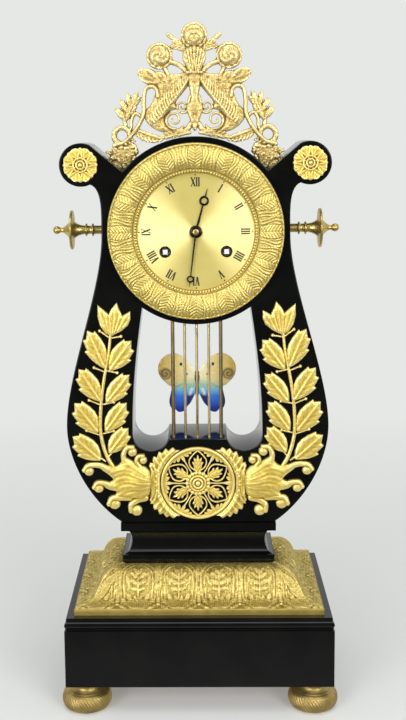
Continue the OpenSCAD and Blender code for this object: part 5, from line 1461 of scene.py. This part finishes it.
def butterfly():
    """Domed enamel wings with a slim body on the pendulum rod."""
    place = (0, middle_mm("butterfly_bob")[0][1], HEAD_Z + PIVOT_UP - BOB_DROP)
    half = Relief.sheet(-0.8, -28, 36, 32, 0.35)
    half.shape(HIND_WING, 0.35, 3.0, base=0.35)
    half.shape(FORE_WING, 0.55, 5.0, base=0.4)
    sheet = Relief.mirrored(half)
    sheet.out = np.minimum(sheet.out, np.hypot(sheet.x, np.maximum(np.abs(sheet.z - 2) - 8, 0)) - 1.2)
    sheet.high = np.maximum(sheet.high, np.where(sheet.out < 0, 0.35, 0))
    wings = sheet.build("butterfly_wings", ENAMEL, place, "pendulum", both=True, paint=wing_paint)
    stand_in(wings, "enamel", "butterfly_bob")
    rings = lathe("butterfly_body", to_axis(along(BODY)), place, "up", BODY_ENAMEL, "pendulum", turns=32,
                  shape=lambda a, r, h: 0.14 * np.cos(math.tau * h / 1.7) * (r > 0.5) * (h < 2))
    stand_in(rings, "enamel", "butterfly_bob")


# Finishes of the CAD nodes that keep their own shape
KEPT = {
    EBONY: ("plinth_box", "plinth_top", "pedestal"),
    WOOD: ("base_board", "cushion_core"),
    LIT_ARBOR_STEEL: ("going_arbor", "strike_arbor"),
    STEEL: ("foot_screws", "tie_bolts", "going_click", "strike_click", "anchor", "hammer", "pendulum_rod",
            "door_hinge_pin", "pillars", "going_mainspring", "strike_mainspring"),
    SPUN: ("movement_case", "rear_door"),
    BRASS: ("front_plate", "back_plate", "back_cock", "bell_stand", "going_barrel", "strike_barrel",
            "intermediate_wheel", "centre_wheel", "third_wheel", "escape_wheel", "count_wheel", "pin_wheel",
            "warning_wheel", "fly", "cannon_pinion", "minute_wheel", "hour_wheel"),
    BELL: ("bell",),
    DIAL: ("dial",),
}
WOOD_EDGE = 0.6


def kept_nodes():
    """Gives the kept CAD nodes their finish, and softens the edges of the polished wood."""
    for material, names in KEPT.items():
        for name in names:
            node = frame["nodes"][name]
            node.data.materials.clear()
            node.data.materials.append(material)
    for name in KEPT[EBONY]:
        soft = frame["nodes"][name].modifiers.new("soft edges", "BEVEL")
        soft.width = WOOD_EDGE * MM
        soft.segments = 3
        soft.limit_method = "ANGLE"
        soft.angle_limit = math.radians(40)


# Stage, light and camera
PALE = (0.79, 0.805, 0.79)
# How bright the surroundings are for matt surfaces, and in the mirror of a surface that faces front
FILL = 0.55
FRONT_GLOSS = 0.1
FLOOR_R = 9.0
FLOOR_TURNS = 96
FLOOR_RINGS = 41
# Distances in metres over which the floor fades, and its own glow where it starts
FADE = (0.12, 0.9)
NEAR_GLOW = 0.2


def stage():
    """A wide pale floor that fades into the background far from the clock."""
    r = np.concatenate([[0.0], np.geomspace(0.05, FLOOR_R, FLOOR_RINGS - 1)])
    a = full_turn(FLOOR_TURNS)
    points = np.stack([np.outer(np.cos(a), r), np.outer(np.sin(a), r), np.outer(a, 0 * r)], -1)
    finish = Finish("floor", Roughness=0.55, Base_Color=(*PALE, 1))
    away = finish.node("ShaderNodeVectorMath", {0: finish.place()}, operation="LENGTH").outputs["Value"]
    ahead = finish.node("ShaderNodeSeparateXYZ", {0: finish.place()}).outputs["Y"]
    glossy = finish.node("ShaderNodeLightPath").outputs["Is Glossy Ray"]
    faded = {0: finish.span(away, NEAR_GLOW, 1, *FADE), 1: glossy}
    far = finish.node("ShaderNodeMath", faded, operation="MAXIMUM")
    mirrored = {"A": 1.0, "B": finish.span(ahead, FRONT_GLOSS, 1, -0.3, 0.1), "Factor": glossy}
    strength = finish.node("ShaderNodeMix", mirrored).outputs["Result"]
    glow = finish.node("ShaderNodeEmission", {"Color": (*PALE, 1), "Strength": strength})
    blend = finish.node("ShaderNodeMixShader", {
        "Fac": far.outputs["Value"], 1: finish.shader.outputs["BSDF"], 2: glow.outputs["Emission"]})
    finish.join(finish.tree.nodes["Material Output"], {"Surface": blend.outputs["Shader"]})
    mesh = bpy.data.meshes.new("floor")
    mesh.from_pydata(points.reshape(-1, 3).tolist(), [], grid_faces(*points.shape[:2], True).tolist())
    mesh.materials.append(finish.material)
    in_scene("floor", mesh)


def world():
    """Pale surroundings for the eye; in reflections they dim towards the front, as in a room."""
    scene_world = bpy.data.worlds.new("studio")
    bpy.context.scene.world = scene_world
    scene_world.use_nodes = True
    nodes = Nodes(scene_world.node_tree)
    path = nodes.node("ShaderNodeLightPath").outputs
    around = nodes.node("ShaderNodeTexCoord").outputs["Generated"]
    toward = nodes.node("ShaderNodeSeparateXYZ", {0: around}).outputs["Y"]
    graded = nodes.span(toward, FRONT_GLOSS, 1.0, -0.95, -0.1)
    shine = nodes.node("ShaderNodeMix", {0: path["Is Glossy Ray"], 2: FILL, 3: graded})
    seen = {0: path["Is Camera Ray"], 1: path["Is Transmission Ray"]}
    plain = nodes.node("ShaderNodeMath", seen, operation="MAXIMUM")
    strength = nodes.node("ShaderNodeMix", {0: plain.outputs[0], 2: shine.outputs[0], 3: 1.0})
    sky = nodes.tree.nodes["Background"]
    nodes.join(sky, {"Color": (*PALE, 1), "Strength": strength.outputs[0]})


# Soft boxes: name, place in metres, width, height, watts
SOFT_BOXES = (
    ("left", (-0.85, -1.35, 0.5), 0.7, 0.9, 15),
    ("right", (0.85, -1.35, 0.7), 0.7, 0.9, 14),
    ("top", (0.0, -0.5, 2.0), 1.4, 1.4, 12),
)
AIM = (0.0, 0.0, 0.28)


def lights():
    """Large soft boxes at both sides and above."""
    for name, place, width, height, watts in SOFT_BOXES:
        data = bpy.data.lights.new(f"soft_box_{name}", "AREA")
        data.shape = "RECTANGLE"
        data.size, data.size_y, data.energy = width, height, watts
        lamp = in_scene(f"soft_box_{name}", data)
        lamp.location = place
        lamp.rotation_euler = (Vector(AIM) - Vector(place)).to_track_quat("-Z", "Y").to_euler()


# Camera: focal length and principal point in the photograph's pixels, place in metres, angles in degrees
PHOTO_SIZE = (406, 720)
FOCAL_PX = 1137.0
PRINCIPAL = (175.0, 290.0)
CAMERA_AT = (0.0006, -0.8957, 0.4492)
TILT_DOWN = 8.08
TURN_RIGHT = -1.12
ROLL = 0.66
SENSOR = 36.0


def camera():
    """The camera at the photograph's viewpoint."""
    data = bpy.data.cameras.new("camera")
    data.sensor_fit = "VERTICAL"
    data.sensor_height = SENSOR
    data.lens = SENSOR * FOCAL_PX / PHOTO_SIZE[1]
    data.shift_x = (PHOTO_SIZE[0] / 2 - PRINCIPAL[0]) / PHOTO_SIZE[1]
    data.shift_y = (PRINCIPAL[1] - PHOTO_SIZE[1] / 2) / PHOTO_SIZE[1]
    data.clip_start, data.clip_end = 0.01, 100
    eye = in_scene("camera", data)
    eye.location = CAMERA_AT
    turn = Matrix.Rotation(math.radians(-TURN_RIGHT), 3, "Z")
    tilt = Matrix.Rotation(math.radians(90 - TILT_DOWN), 3, "X")
    eye.rotation_euler = (turn @ tilt @ Matrix.Rotation(math.radians(-ROLL), 3, "Z")).to_euler()
    bpy.context.scene.camera = eye
    bpy.context.scene.view_settings.view_transform = "Standard"


for make in (lyre, branches, medallion, rosettes, crest, bezel, sight_ring, cushion, feet, pegs, strings,
             dial_marks, winding_rings, hands, butterfly, kept_nodes, stage, world, lights, camera):
    make()
